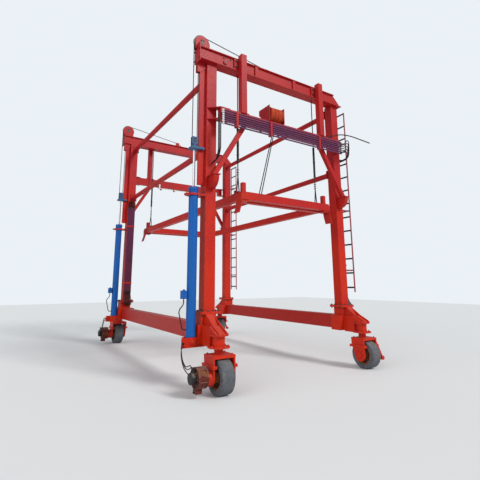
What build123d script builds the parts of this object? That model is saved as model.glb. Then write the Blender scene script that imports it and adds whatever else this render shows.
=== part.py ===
from build123d import *
import math
import os

os.makedirs("parts", exist_ok=True)

# Rubber-tyred mobile gantry crane with hydraulic hoist cylinders.
# Millimetres. X runs across the crane, Y along it (front portal at -Y), Z up from the ground.
# The origin is on the ground in the middle of the crane.

# Driving dimensions: the whole crane
span = 3630              # across, between column centres
wheelbase = 5390         # along, between column centres
column_side = 225        # square box column
column_foot_z = 1295     # top of the pedestals, where the columns are bolted on
column_top_z = 6365
flange_side = 390
flange_t = 22

# Top beams, set a little outside the column line
beam_w = 260
beam_h = 280
beam_bearing = 25        # bearing plate between a column's head and the beam
beam_out = 63            # beam centre outside the column centre
beam_flange_t = 16
beam_web_t = 12
beam_web_gap = 156       # clear space between the two webs, where the ropes run
beam_left_reach = 311    # beam end beyond the left column's centre
beam_right_reach = 205   # beam end, at the bottom, beyond the right column's centre
beam_right_cut = 266     # how far the right end slopes back
end_plate_t = 16
end_plate_z = 6340
end_plate_h = 430

# Haunch plates under the beams' left ends, where the ropes are anchored
haunch_w = 70
haunch_h = 240
haunch_t = 16
haunch_pin_d = 40
anchor_drop = 35         # pin above the haunch's foot

# Posts and the lower transverse beams, outside the column line
post_x = 1140            # post centre from the crane's middle
post_side = 135
post_head_rise = 60      # post heads above the top beams
post_foot_side = 270
lower_beam_out = 238     # lower beam's centre outside the column centre
lower_beam_z = 5120      # underside
lower_beam_h = 230
lower_beam_w = 130
tie_plate_t = 16         # plates that tie the lower beam to the columns

# Knee braces and their bracket boxes on the columns
brace_side = 90
brace_foot_out = 10      # brace's foot outside the column centre
brace_head_x = 1030      # from the crane's middle, inside the lower beam
bracket_w = 110
bracket_h = 242
bracket_d = 240          # how far it stands off the column
bracket_z = 3650         # underside of the bracket box
bracket_round = 215      # curve of its underside
bracket_cap_w = 160
bracket_cap_d = 262
bracket_cap_t = 18

# Longitudinal tubes
tube_d = 133
tube_upper_z = 6200
tube_lower_z = 4550
tube_in = 47             # tube axis inside the column centre
tube_plate_t = 16
tube_plate_w = 190
tube_plate_h = 215

# Ground beams
ground_beam_z = 780
ground_beam_h = 310
ground_beam_w = 200
ground_beam_out = 12     # beam's middle outside the column centre

# Pedestals with the kingpin housings
pedestal_w = 470
pedestal_l = 275
pedestal_box_z = 760     # underside of the pedestal box
pedestal_box_h = 325
neck_w = 300             # neck between the box and the column flange
nose_w = 250             # box in front, over the kingpin housing
nose_l = 280
nose_slope_l = 250       # its sloping front
rib_block_w = 175        # sloping ribs between the flange and the nose
rib_top_l = 60
rib_foot_l = 225
kingpin_side_out = 30    # kingpin axis outside the column centre, across
kingpin_out = 520        # and along
housing_d = 215
housing_z = 760
housing_h = 175
housing_low_flange_d = 390
housing_top_flange_d = 340
housing_flange_t = 22
housing_web_w = 150
kingpin_d = 160
kingpin_gap = 0.3

# Wheels and forks
axle_trail = 75          # axle outside the kingpin, along
tyre_d = 580
tyre_w = 250
tyre_round = 28
rim_d = 400
rim_w = 215
rim_disc_t = 40
rim_flange_in = 26       # rim's inside wall
wheel_hub_d = 190
axle_d = 90
axle_gap = 0.3
side_gap = 6             # wheel hub to fork leg
crown_z = 592
crown_h = 48
crown_w = 430
crown_l = 340
crown_trail = 35         # crown's middle outside the kingpin, along
fork_leg_t = 32
fork_leg_l = 330         # leg's width at the crown
fork_foot_d = 260        # round foot of each leg, about the axle
clamp_bar_l = 410        # bar across each leg with projecting ends
clamp_bar_h = 50
clamp_bar_t = 72
clamp_bar_z = 445

# Wheel motors on the left wheels, each on a round boss of its fork
motor_boss_d = 250
motor_boss_t = 90
motor_d = 320
motor_l = 180
motor_rise = 30          # motor's axis above the axle
motor_cap_d = 175
motor_cap_l = 90
motor_valve_side = 110   # valve block under the motor
motor_valve_drop = 235   # its foot below the motor's axis

# Slanting arms with a round end on the right forks
arm_side = 40
arm_reach = 200
arm_foot_z = 190
arm_end_d = 90
arm_end_w = 60

# Hoist cylinders on the left columns
hoist_out = 327          # cylinder axis outside the column centre, across
rope_out = 12            # plane of ropes and cylinders outside the column centre, along
barrel_d = 180
barrel_bore = 150
barrel_end_t = 60
barrel_top_z = 3600
gland_d = 200
gland_h = 50
rod_d = 50
rod_gap = 0.3
rod_foot_z = 2100        # foot of the rod and its piston, at rest
piston_h = 90
piston_gap = 0.3
saddle_z = 705
saddle_h = 170
saddle_plate_t = 25
saddle_reach = 205       # outer plate's end beyond the cylinder axis
saddle_inner_reach = 130
saddle_under = 150       # its foot under the pedestal box
saddle_gap = 5           # saddle's top to the barrel
eye_d = 140              # eye under the barrel, between the saddle's plates
eye_w = 116
eye_gap = 2
foot_pin_d = 70
foot_pin_gap = 0.3
foot_pin_z = 800
foot_boss_d = 105
foot_boss_t = 16
cylinder_clamp_z = 3490
cylinder_clamp_t = 35
cylinder_clamp_w = 220
cylinder_clamp_tip = 90  # width of its pointed outer end
cylinder_clamp_reach = 178

# Guide rails on the outer faces of the left columns
rail_out = 134
rail_w = 55
rail_foot_z = 3725
rail_top_z = 6340
rail_clear = 5

# Sheave blocks on the rods
block_z = 4440
block_plate_t = 45
block_plate_w = 175
block_plate_reach = 90   # plate's end beyond the rod's axis
block_arm_gap = 30       # end of the guide arms to the column's face
block_sheave_d = 130
block_pitch_d = 107
block_h = 260
block_cheek_w = 130
block_cheek_t = 14
block_sheave_w = 40
block_pin_d = 36
block_pin_drop = 75      # sheave's pin under the block's top

# End sheaves on the left ends of the top beams
sheave_pitch_d = 350
sheave_d = 372
sheave_w = 44
sheave_pin_d = 60
sheave_rise = 175        # its axis above the top beam
cheek_t = 16
cheek_w = 320
cheek_gap = 4
rope_d = 18
groove_gap = 0.5

# Rope guides in the middle of the top beams
guide_x = {"front": -300, "rear": -240}
roller_d = 80
roller_w = 50
roller_rise = 60         # roller's axis above the beam
guide_l = 110
guide_plate_t = 10
rope_dive = 35           # slope of the rope that goes down into the beam, in degrees
rope_slot_l = 230
rope_slot_w = 50

# Drop ropes, slings and the spreader
sling_in = 104           # slings inside the spreader's side
drop_rope_d = 24
socket_d = 50
socket_z = 4360
socket_h = 760
sling_d = 24
sling_fork_z = 4035      # where the sling parts into two legs
sling_spread = 30        # each foot of a sling from its middle
sling_foot_z = 3700
lug_w = 100
lug_t = 20
lug_h = 80
spreader_l = 6058        # over the corners, as a twenty-foot container
spreader_w = 2438
corner_in_l = 102.5      # corner castings' centres inside the frame's end
corner_in_w = 89.5       # and inside its side
spreader_top_z = 3640
spreader_beam_h = 160
spreader_beam_w = 120
corner_block_h = 40
corner_block_l = 178
corner_block_w = 162
peg_side = 85
peg_h = 210
peg_round = 12
corner_guide_l = 200
corner_guide_t = 16
corner_guide_foot_z = 3200
corner_guide_flare = 60
corner_guide_bend_z = 3400

# Hose reel on the front lower beam
reel_x = -272
reel_drum_d = 300
reel_drum_w = 300
reel_flange_d = 350
reel_flange_t = 12
reel_plate_t = 14
reel_plate_gap = 400     # between the two side plates
reel_plate_h = 370
reel_plate_front = 33    # plates' front edge before the beam's face
reel_plate_back = 230    # plates' rear edge behind the beam
reel_plate_tail = 120    # height of the rear edge
reel_back = 35           # reel's axis behind the beam's middle
reel_axle_d = 50
reel_axle_gap = 0.3
reel_axle_rise = 195     # axle above the lower beam
reel_hose_d = 22
reel_hose_gap = 40       # between the two hoses at the drum
reel_hose_foot_gap = 60  # and at the spreader
reel_hose_in = 112       # middle of the two hoses from the drum's middle
reel_hose_bend_x = -180  # middle of the two hoses where they bend, under the drum
reel_hose_bend_drop = 395
reel_hose_round = 1500
reel_hose_foot_x = -580
hose_foot_gap = 3.5      # for the slant of the hoses' cut ends

# Pipes along the front lower beam
pipe_d = 34
pipe_pitch = 48
pipe_count = 7
pipe_drop = 140          # lowest pipe under the beam's underside
pipe_left_in = 125       # pipes' ends inside the columns' centres
pipe_right_in = 115
pipe_off = 62            # pipes' centres off the lower beam's face
pipe_clamp_x = (-1360, -480, 970)
pipe_clamp_w = 50
pipe_clamp_d = 30        # clamp beyond the pipes' centres
pipe_gap = 0.3

# Loose cable that lies on the front lower beam and points out past the right column
cable_d = 26
cable_gap = 0.3
# out from the front right column's centre
cable_points = [(-525, 290), (-475, 290), (115, 310), (595.8, 694.6)]
cable_crest = 225        # its highest place above the beam
cable_end_drop = 62      # its free end under the beam's top
cable_rounds = [150, 500]

# Hanger rod under the rear lower beam
hanger_rod_d = 18
hanger_rod_x = (-835, 1650)
hanger_x = (-810, 420, 1440)
hanger_w = 50
hanger_h = 150
hanger_drop = 70         # hangers' feet under the beam
hanger_rod_rise = 18     # rod's axis above the hangers' feet

# Pipes on the columns
riser_d = 26
riser_pitch = 33
riser_off = 24
riser_band_w = 45
left_riser_count = 7
right_riser_count = 5
riser_ends_z = {"left": (1610, 4210), "right": (1870, 5030)}
riser_bands_z = {"left": (1850, 3610), "right": (2250, 3560, 4800)}

# Hoses between the pipes, the columns and the cylinders
hose_d = 20
hose_gap = 0.3
bend_share = 0.45        # part of the shorter run that a bend takes
left_hose_count = 3
left_hose_pitch = 26     # across, where they hang
left_hose_out = 50       # first one beyond the pipes' left ends
left_hose_low_z = 4250   # where they reach the column's face
right_hose_out = 195     # first loop's outermost place past the right column's centre
right_hose_pitch = 20
right_hose_low_z = 4950
right_hose_rise = 45     # each loop's crest above the one inside it
foot_hose_sag = 62       # bow of the hoses at the pipes' feet
foot_hose_end_z = 1185
head_hose_rise = 190     # hoses at the heads of the rear left pipes
head_hose_sag = 34

# Valve block on each cylinder and its feed hose
valve_w = 100
valve_l = 90
valve_h = 150
valve_z = 1545
valve_gap = 12           # room between block and barrel, bridged by its port
valve_port_d = 40
feed_hose_reach = 158    # bow of the feed hose beyond the cylinder's skin
feed_hose_end_z = 1010

# Ladders on the right columns
ladder_gap = 200         # rail centres beyond the column face
ladder_w = 350
ladder_in = 12           # ladder's middle inside the column centre
ladder_rail_d = 34
ladder_rung_d = 28
ladder_rung_z = 1720     # lowest rung
ladder_foot_z = 1610
ladder_top_z = 6260
ladder_rung_drop = 20    # top rung's axis under the rails' tops
ladder_rung_count = 14
ladder_stay_z = (2130, 3610, 5400)
ladder_stay_side = 30

# Places worked out from the sizes
half_span = span / 2
half_base = wheelbase / 2
pipe_left_x = -(half_span - pipe_left_in)
pipe_right_x = half_span - pipe_right_in
column_face = column_side / 2
beam_z = column_top_z + beam_bearing
beam_top_z = beam_z + beam_h
beam_left_x = -half_span - beam_left_reach
beam_y = half_base + beam_out
sheave_z = beam_top_z + sheave_rise
post_y = beam_y + (beam_w + post_side) / 2
post_head_z = beam_top_z + post_head_rise
lower_beam_top_z = lower_beam_z + lower_beam_h
lower_beam_y = half_base + lower_beam_out
lower_beam_face_y = lower_beam_y + lower_beam_w / 2
reel_plate_top_z = lower_beam_top_z + reel_plate_h
reel_axle_z = lower_beam_top_z + reel_axle_rise
pipe_low_z = lower_beam_z - pipe_drop
pedestal_flange_z = column_foot_z - flange_t
pedestal_face_y = half_base + pedestal_l / 2
kingpin_x = half_span + kingpin_side_out
kingpin_y = half_base + kingpin_out
axle_y = kingpin_y + axle_trail
crown_y = kingpin_y + crown_trail
housing_top_z = housing_z + housing_h
axle_z = tyre_d / 2
crown_top_z = crown_z + crown_h
hoist_x = half_span + hoist_out
rope_y = half_base + rope_out
barrel_z = saddle_z + saddle_h + saddle_gap
fall_in_x = -(hoist_x - block_pitch_d / 2)
fall_out_x = -(hoist_x + block_pitch_d / 2)
sheave_x = fall_out_x + sheave_pitch_d / 2
haunch_z = beam_z - haunch_h
fall_foot_z = block_z + block_h - block_pin_drop
pipe_y = lower_beam_face_y + pipe_off
sling_x = spreader_w / 2 - sling_in
corner_x = spreader_w / 2 - corner_in_w
corner_y = spreader_l / 2 - corner_in_l

portals = {"front": -1, "rear": 1}
sides = {"left": -1, "right": 1}
both = (-1, 1)
corners = [(portal, side) for portal in portals for side in sides]


def save(piece, label):
    piece.part.label = label
    export_step(piece.part, f"parts/{label}.step")


def box_on(x, y, z, length, width, height, mode=Mode.ADD):
    # a box that stands on height z, centred on x and y
    with Locations((x, y, z)):
        Box(length, width, height, align=(Align.CENTER, Align.CENTER, Align.MIN), mode=mode)


def disc_on(x, y, z, diameter, height, mode=Mode.ADD):
    # an upright cylinder that stands on height z
    with Locations((x, y, z)):
        Cylinder(diameter / 2, height, align=(Align.CENTER, Align.CENTER, Align.MIN), mode=mode)


def along_x(x, y, z, diameter, length, mode=Mode.ADD):
    # a cylinder that lies across the crane, with its middle at x, y, z
    with Locations(Location((x, y, z), (0, 90, 0))):
        Cylinder(diameter / 2, length, mode=mode)


def along_y(x, y, z, diameter, length, mode=Mode.ADD):
    # a cylinder that lies along the crane, with its middle at x, y, z
    with Locations(Location((x, y, z), (90, 0, 0))):
        Cylinder(diameter / 2, length, mode=mode)


def prism_y(points, y_from, width):
    # an outline in x and z, thick along y
    with BuildSketch(Plane(origin=(0, y_from + width, 0), x_dir=(1, 0, 0), z_dir=(0, -1, 0))) as outline:
        with BuildLine():
            Polyline(*points, close=True)
        make_face()
    return outline.sketch


def bar_between(start, end, side):
    # a square bar from start to end
    run = Vector(*end) - Vector(*start)
    with BuildSketch(Plane(origin=start, z_dir=run, x_dir=(0, 1, 0))) as section:
        Rectangle(side, side)
    extrude(section.sketch, amount=run.length)


def rod_between(start, end, diameter):
    # a round bar from start to end
    run = Vector(*end) - Vector(*start)
    with BuildSketch(Plane(origin=start, z_dir=run, x_dir=(0, 1, 0))) as section:
        Circle(diameter / 2)
    extrude(section.sketch, amount=run.length)


def corner_of_tangents(centre_x, centre_z, radius, normal_a, normal_b):
    # where two tangents of a circle meet, each given by its normal
    share = radius / (1 + normal_a.dot(normal_b))
    return (centre_x + share * (normal_a.X + normal_b.X), centre_z + share * (normal_a.Z + normal_b.Z))


def hose_along(points, diameter):
    # a hose through the points, each bend as wide as its runs allow
    places = [Vector(*place) for place in points]
    radii = []
    for before, corner, after in zip(places, places[1:], places[2:]):
        inward, outward = corner - before, after - corner
        half_turn = math.radians(inward.get_angle(outward)) / 2
        radii.append(bend_share * min(inward.length, outward.length) / math.tan(half_turn))
    with BuildLine() as route:
        FilletPolyline(*places, radius=radii)
    with BuildSketch(Plane(origin=places[0], z_dir=places[1] - places[0])) as section:
        Circle(diameter / 2)
    sweep(section.sketch, path=route.line)


# Columns: square boxes with a foot flange
with BuildPart() as columns:
    for sy in both:
        for sx in both:
            x, y = sx * half_span, sy * half_base
            box_on(x, y, column_foot_z, column_side, column_side, column_top_z - column_foot_z)
            box_on(x, y, column_foot_z, flange_side, flange_side, flange_t)
save(columns, "columns")

# Top beams: two webs between flanges, open inside for the ropes
for portal, sy in portals.items():
    y = sy * beam_y
    right_x = half_span + beam_right_reach
    length = right_x - beam_left_x
    middle = (beam_left_x + right_x) / 2
    web_h = beam_h - 2 * beam_flange_t
    cut_outline = prism_y(
        [
            (right_x, beam_z + beam_flange_t),
            (right_x + beam_w, beam_z + beam_flange_t),
            (right_x + beam_w, beam_top_z + beam_w),
            (right_x - beam_right_cut, beam_top_z + beam_w),
            (right_x - beam_right_cut, beam_top_z),
        ],
        y - beam_w,
        2 * beam_w,
    )
    with BuildPart() as top_beam:
        for z in (beam_z, beam_top_z - beam_flange_t):
            box_on(middle, y, z, length, beam_w, beam_flange_t)
        for s in both:
            web_y = y + s * (beam_web_gap + beam_web_t) / 2
            box_on(middle, web_y, beam_z + beam_flange_t, length, beam_web_t, web_h)
        extrude(cut_outline, amount=2 * beam_w, mode=Mode.SUBTRACT)
        # slot for the pull rope behind its roller
        slot_x = guide_x[portal] + roller_d / 2 + rope_slot_l / 2
        slot_z = beam_top_z - beam_flange_t
        box_on(slot_x, sy * rope_y, slot_z, rope_slot_l, rope_slot_w, beam_flange_t, Mode.SUBTRACT)
        # end plate on the left, bearing plates on the column heads
        end_x = beam_left_x - end_plate_t / 2
        box_on(end_x, y, end_plate_z, end_plate_t, beam_w, end_plate_h)
        for s in both:
            box_on(s * half_span, sy * half_base, column_top_z, column_side, column_side, beam_bearing)
        # room for the end sheave and its cheek plates
        sheave_room = sheave_w + cheek_gap
        cheeks_w = sheave_room + 2 * cheek_t
        room_z = sheave_z - sheave_d / 2 - cheek_gap
        room_l = sheave_d + 2 * cheek_gap
        box_on(sheave_x, sy * rope_y, room_z, room_l, sheave_room, sheave_d, Mode.SUBTRACT)
        box_on(sheave_x, sy * rope_y, beam_top_z, room_l, cheeks_w, sheave_d, Mode.SUBTRACT)
    save(top_beam, f"top_beam_{portal}")

# Haunch plates under the beams' left ends, with the pin that anchors the rope
with BuildPart() as haunches:
    for sy in both:
        y = sy * rope_y
        right = -half_span - column_face
        outline = [
            (beam_left_x, beam_z),
            (beam_left_x, haunch_z),
            (beam_left_x + haunch_w, haunch_z),
            (right, beam_z - haunch_h / 2),
            (right, beam_z),
        ]
        for s in both:
            plate_y = y + s * (rail_w + haunch_t) / 2
            extrude(prism_y(outline, plate_y - haunch_t / 2, haunch_t), amount=haunch_t)
        along_y(fall_in_x, y, haunch_z + anchor_drop, haunch_pin_d, rail_w)
save(haunches, "haunch_plates")

# Lower transverse beams with pointed tie plates to the columns' outer faces
for portal, sy in portals.items():
    y = sy * lower_beam_y
    face_y = sy * (half_base + column_face)
    clear_x = half_span - column_face
    with BuildPart() as lower_beam:
        box_on(0, y, lower_beam_z, 2 * clear_x, lower_beam_w, lower_beam_h)
        for z in (lower_beam_z - tie_plate_t, lower_beam_top_z):
            for sx in both:
                with BuildSketch(Plane.XY.offset(z)) as tie:
                    with BuildLine():
                        Polyline(
                            (sx * (half_span + column_face), face_y),
                            (sx * clear_x, sy * lower_beam_face_y),
                            (sx * (clear_x - column_side), sy * lower_beam_face_y),
                            (sx * (clear_x - column_side), sy * (lower_beam_face_y - lower_beam_w)),
                            (sx * clear_x, face_y),
                            close=True,
                        )
                    make_face()
                extrude(tie.sketch, amount=tie_plate_t)
    save(lower_beam, f"lower_beam_{portal}")

# Posts from the lower beams past the outer faces of the top beams
with BuildPart() as posts:
    for sy in both:
        for sx in both:
            x, y = sx * post_x, sy * post_y
            box_on(x, y, lower_beam_top_z, post_side, post_side, post_head_z - lower_beam_top_z)
            box_on(x, sy * lower_beam_y, lower_beam_top_z, post_foot_side, lower_beam_w, flange_t)
save(posts, "posts")

# Knee braces, each from a bracket on its column to the lower beam
with BuildPart() as knee_braces:
    cap_z = bracket_z + bracket_h
    face_y = half_base + column_face
    for sy in both:
        brace_y = sy * lower_beam_y
        for sx in both:
            foot = (sx * (half_span + brace_foot_out), brace_y, cap_z)
            head = (sx * brace_head_x, brace_y, lower_beam_z + brace_side)
            bar_between(foot, head, brace_side)
        for cut_z in (lower_beam_z, cap_z - lower_beam_h):
            box_on(0, brace_y, cut_z, 2 * span, 2 * lower_beam_w, lower_beam_h, Mode.SUBTRACT)
        for sx in both:
            x = sx * half_span
            with BuildSketch(Plane.YZ.offset(x - bracket_w / 2)) as bracket:
                with Locations((sy * (face_y + bracket_d / 2), bracket_z + bracket_h / 2)):
                    Rectangle(bracket_d, bracket_h)
                low_corners = bracket.vertices().group_by(Axis.Y)[0].sort_by(Axis.X)
                fillet(low_corners[-1] if sy > 0 else low_corners[0], bracket_round)
            extrude(bracket.sketch, amount=bracket_w)
            box_on(x, sy * (face_y + bracket_cap_d / 2), cap_z, bracket_cap_w, bracket_cap_d, bracket_cap_t)
save(knee_braces, "knee_braces")

# Longitudinal tubes with bolted end plates
with BuildPart() as side_tubes:
    clear = half_base - column_face
    for sx in both:
        x = sx * (half_span - tube_in)
        for z in (tube_upper_z, tube_lower_z):
            along_y(x, 0, z, tube_d, 2 * clear - 2 * tube_plate_t)
            for sy in both:
                plate_y = sy * (clear - tube_plate_t / 2)
                box_on(x, plate_y, z - tube_plate_h / 2, tube_plate_w, tube_plate_t, tube_plate_h)
save(side_tubes, "side_tubes")

# Ground beams between the pedestals
with BuildPart() as ground_beams:
    for sx in both:
        reach = wheelbase - pedestal_l
        box_on(sx * (half_span + ground_beam_out), 0, ground_beam_z, ground_beam_w, reach, ground_beam_h)
save(ground_beams, "ground_beams")

# Pedestals: welded bases with a sloping nose over the kingpin housing
with BuildPart() as pedestals:
    box_top = pedestal_box_z + pedestal_box_h
    nose_foot = housing_top_z + housing_flange_t
    bore_z = housing_z - housing_flange_t
    for sy in both:
        for sx in both:
            x, y = sx * half_span, sy * half_base
            pin_x, pin_y = sx * kingpin_x, sy * kingpin_y
            box_on(x, y, pedestal_box_z, pedestal_w, pedestal_l, pedestal_box_h)
            box_on(pin_x, y, box_top, neck_w, pedestal_l, pedestal_flange_z - box_top)
            box_on(x, y, pedestal_flange_z, flange_side, flange_side, flange_t)
            # nose and the ribs above it, as outlines seen from the side
            nose_outline = [
                (0, pedestal_box_z),
                (nose_l, pedestal_box_z),
                (nose_l, nose_foot),
                (nose_l + nose_slope_l, nose_foot),
                (nose_l, box_top),
                (0, box_top),
            ]
            rib_outline = [
                (0, box_top),
                (rib_foot_l, box_top),
                (rib_top_l, pedestal_flange_z),
                (0, pedestal_flange_z),
            ]
            for outline, width in ((nose_outline, nose_w), (rib_outline, rib_block_w)):
                points = [(sy * (pedestal_face_y + reach), z) for reach, z in outline]
                with BuildSketch(Plane.YZ.offset(pin_x - width / 2)) as side_view:
                    with BuildLine():
                        Polyline(*points, close=True)
                    make_face()
                extrude(side_view.sketch, amount=width)
            # housing between its two round flanges, and the web that carries it
            disc_on(pin_x, pin_y, housing_z, housing_d, housing_h)
            disc_on(pin_x, pin_y, housing_top_z, housing_top_flange_d, housing_flange_t)
            disc_on(pin_x, pin_y, bore_z, housing_low_flange_d, housing_flange_t)
            carrier_l = kingpin_y - pedestal_face_y
            web_y = sy * (pedestal_face_y + carrier_l / 2)
            box_on(pin_x, web_y, housing_z, housing_web_w, carrier_l, housing_h)
            box_on(pin_x, web_y, bore_z, nose_w, carrier_l, housing_flange_t)
            disc_on(pin_x, pin_y, bore_z, kingpin_d + 2 * kingpin_gap, housing_h, Mode.SUBTRACT)
save(pedestals, "pedestals")

# Steered wheels: fork, wheel and wheel motor at each corner
for portal, side in corners:
    sx, sy = sides[side], portals[portal]
    x, y = sx * kingpin_x, sy * axle_y
    leg_x = (crown_w - fork_leg_t) / 2
    leg_inner = crown_w / 2 - fork_leg_t
    with BuildPart() as fork:
        disc_on(x, sy * kingpin_y, crown_top_z, kingpin_d, housing_z + housing_h / 2 - crown_top_z)
        box_on(x, sy * crown_y, crown_z, crown_w, crown_l, crown_h)
        for s in both:
            with BuildSketch(Plane.YZ.offset(x + s * leg_x - fork_leg_t / 2)) as leg:
                with Locations((sy * crown_y, crown_z - clamp_bar_h / 2)):
                    Rectangle(fork_leg_l, clamp_bar_h)
                with Locations((y, axle_z)):
                    Circle(fork_foot_d / 2)
                make_hull()
            extrude(leg.sketch, amount=fork_leg_t)
            box_on(x + s * leg_x, sy * crown_y, clamp_bar_z, clamp_bar_t, clamp_bar_l, clamp_bar_h)
        along_x(x, y, axle_z, axle_d, 2 * leg_inner)
        if side == "left":
            along_x(x - (crown_w + motor_boss_t) / 2, y, axle_z, motor_boss_d, motor_boss_t)
        else:
            arm_y = sy * (crown_y + crown_l / 2 - arm_side)
            arm_start = (x + crown_w / 2 - fork_leg_t, arm_y, crown_z + crown_h / 2)
            arm_end = (x + crown_w / 2 + arm_reach, arm_y, arm_foot_z)
            bar_between(arm_start, arm_end, arm_side)
            along_y(*arm_end, arm_end_d, arm_end_w)
    save(fork, f"fork_{portal}_{side}")

    with BuildPart() as tyre:
        along_x(x, y, axle_z, tyre_d, tyre_w)
        fillet(tyre.edges().filter_by(GeomType.CIRCLE), tyre_round)
        along_x(x, y, axle_z, rim_d, tyre_w, Mode.SUBTRACT)
    save(tyre, f"tyre_{portal}_{side}")

    with BuildPart() as rim:
        along_x(x, y, axle_z, rim_d, rim_w)
        for s in both:
            dish = (rim_w - rim_disc_t) / 2
            along_x(x + s * (rim_w - dish) / 2, y, axle_z, rim_d - 2 * rim_flange_in, dish, Mode.SUBTRACT)
        along_x(x, y, axle_z, wheel_hub_d, 2 * (leg_inner - side_gap))
        along_x(x, y, axle_z, axle_d + 2 * axle_gap, 2 * leg_inner, Mode.SUBTRACT)
    save(rim, f"rim_{portal}_{side}")

    if side == "left":
        with BuildPart() as motor:
            motor_z = axle_z + motor_rise
            body_x = x - crown_w / 2 - motor_boss_t - motor_l / 2
            end_x = body_x - motor_l / 2
            block_x = end_x + motor_valve_side / 2
            along_x(body_x, y, motor_z, motor_d, motor_l)
            along_x(end_x - motor_cap_l / 2, y, motor_z, motor_cap_d, motor_cap_l)
            block_foot_z = motor_z - motor_valve_drop
            box_on(block_x, y, block_foot_z, motor_valve_side, motor_valve_side, motor_valve_drop)
        save(motor, f"drive_motor_{portal}_{side}")

# Guide rails for the sheave blocks, on the outer faces of the left columns
with BuildPart() as guide_rails:
    for sy in both:
        rail_x = -(half_span + column_face + rail_out / 2)
        box_on(rail_x, sy * rope_y, rail_foot_z, rail_out, rail_w, rail_top_z - rail_foot_z)
save(guide_rails, "guide_rails")

# Hoist cylinders: barrel, closed end and gland
with BuildPart() as hoist_cylinders:
    for sy in both:
        x, y = -hoist_x, sy * rope_y
        disc_on(x, y, barrel_z, barrel_d, barrel_top_z - barrel_z)
        disc_on(x, y, barrel_top_z, gland_d, gland_h)
        inside_z = barrel_z + barrel_end_t
        disc_on(x, y, inside_z, barrel_bore, barrel_top_z - inside_z, Mode.SUBTRACT)
        disc_on(x, y, barrel_top_z, rod_d + 2 * rod_gap, gland_h, Mode.SUBTRACT)
        # eye under the barrel, on the saddle's pin
        box_on(x, y, foot_pin_z, eye_d, eye_w, barrel_z - foot_pin_z)
        along_y(x, y, foot_pin_z, eye_d, eye_w)
        along_y(x, y, foot_pin_z, foot_pin_d + 2 * foot_pin_gap, eye_w, Mode.SUBTRACT)
save(hoist_cylinders, "hoist_cylinders")

# Saddles: two plates each on the pedestals, with the pin that carries the cylinder's eye
with BuildPart() as saddles:
    face = -(half_span + pedestal_w / 2)
    for sy in both:
        for s, reach in ((sy, saddle_reach), (-sy, saddle_inner_reach)):
            left = -(hoist_x + reach)
            outline = [
                (left, saddle_z),
                (face + saddle_under, saddle_z),
                (face + saddle_under, pedestal_box_z),
                (face, pedestal_box_z),
                (face, saddle_z + saddle_h),
                (left, saddle_z + saddle_h),
            ]
            plate_y = sy * rope_y + s * (eye_w / 2 + eye_gap + saddle_plate_t / 2)
            extrude(prism_y(outline, plate_y - saddle_plate_t / 2, saddle_plate_t), amount=saddle_plate_t)
            boss_y = plate_y + s * (saddle_plate_t + foot_boss_t) / 2
            along_y(-hoist_x, boss_y, foot_pin_z, foot_boss_d, foot_boss_t)
        along_y(-hoist_x, sy * rope_y, foot_pin_z, foot_pin_d, eye_w + 2 * eye_gap)
save(saddles, "cylinder_saddles")

# Clamp plates that hold the cylinders' heads to the columns
with BuildPart() as cylinder_clamps:
    for sy in both:
        y = sy * rope_y
        tip = -(hoist_x + cylinder_clamp_reach)
        shoulder = -(hoist_x + barrel_d / 2)
        face = -(half_span + column_face)
        with BuildSketch(Plane.XY.offset(cylinder_clamp_z)) as clamp:
            with BuildLine():
                Polyline(
                    (face, y - cylinder_clamp_w / 2),
                    (shoulder, y - cylinder_clamp_w / 2),
                    (tip, y - cylinder_clamp_tip / 2),
                    (tip, y + cylinder_clamp_tip / 2),
                    (shoulder, y + cylinder_clamp_w / 2),
                    (face, y + cylinder_clamp_w / 2),
                    close=True,
                )
            make_face()
        extrude(clamp.sketch, amount=cylinder_clamp_t)
        disc_on(-hoist_x, y, cylinder_clamp_z, barrel_d, cylinder_clamp_t, Mode.SUBTRACT)
save(cylinder_clamps, "cylinder_clamps")

# Piston rods with their sheave blocks
pin_z = fall_foot_z
for portal, sy in portals.items():
    x, y = -hoist_x, sy * rope_y
    with BuildPart() as piston_rod:
        disc_on(x, y, rod_foot_z, rod_d, block_z - rod_foot_z)
        disc_on(x, y, rod_foot_z, barrel_bore - 2 * piston_gap, piston_h)
    save(piston_rod, f"piston_rod_{portal}")

    with BuildPart() as sheave_block:
        face = -(half_span + column_face)
        left = x - block_plate_reach
        right = face - block_arm_gap
        box_on((left + right) / 2, y, block_z, right - left, block_plate_w, block_plate_t)
        slot_l = right + rail_clear - (face - rail_out) + rail_clear
        slot_x = face - rail_out - rail_clear + slot_l / 2
        box_on(slot_x, y, block_z, slot_l, rail_w + 2 * rail_clear, block_plate_t, Mode.SUBTRACT)
        for s in both:
            cheek_y = y + s * (block_sheave_w + block_cheek_t + cheek_gap) / 2
            box_on(x, cheek_y, block_z + block_plate_t, block_cheek_w, block_cheek_t, block_h - block_plate_t)
        along_y(x, y, pin_z, block_pin_d, block_sheave_w + 2 * block_cheek_t + cheek_gap)
    save(sheave_block, f"sheave_block_{portal}")

    with BuildPart() as block_sheave:
        along_y(x, y, pin_z, block_sheave_d, block_sheave_w)
        along_y(x, y, pin_z, block_pin_d + 2 * axle_gap, block_sheave_w, Mode.SUBTRACT)
        groove_bottom = block_pitch_d - rope_d - 2 * groove_gap
        along_y(x, y, pin_z, block_sheave_d, rope_d + 2 * groove_gap, Mode.SUBTRACT)
        along_y(x, y, pin_z, groove_bottom, rope_d + 2 * groove_gap)
        along_y(x, y, pin_z, block_pin_d + 2 * axle_gap, block_sheave_w, Mode.SUBTRACT)
    save(block_sheave, f"block_sheave_{portal}")

    # the two falls between the block's sheave and the beam
    with BuildPart() as hoist_falls:
        for fall_x in (fall_in_x, fall_out_x):
            disc_on(fall_x, y, fall_foot_z, rope_d, haunch_z - fall_foot_z)
    save(hoist_falls, f"hoist_falls_{portal}")

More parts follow.
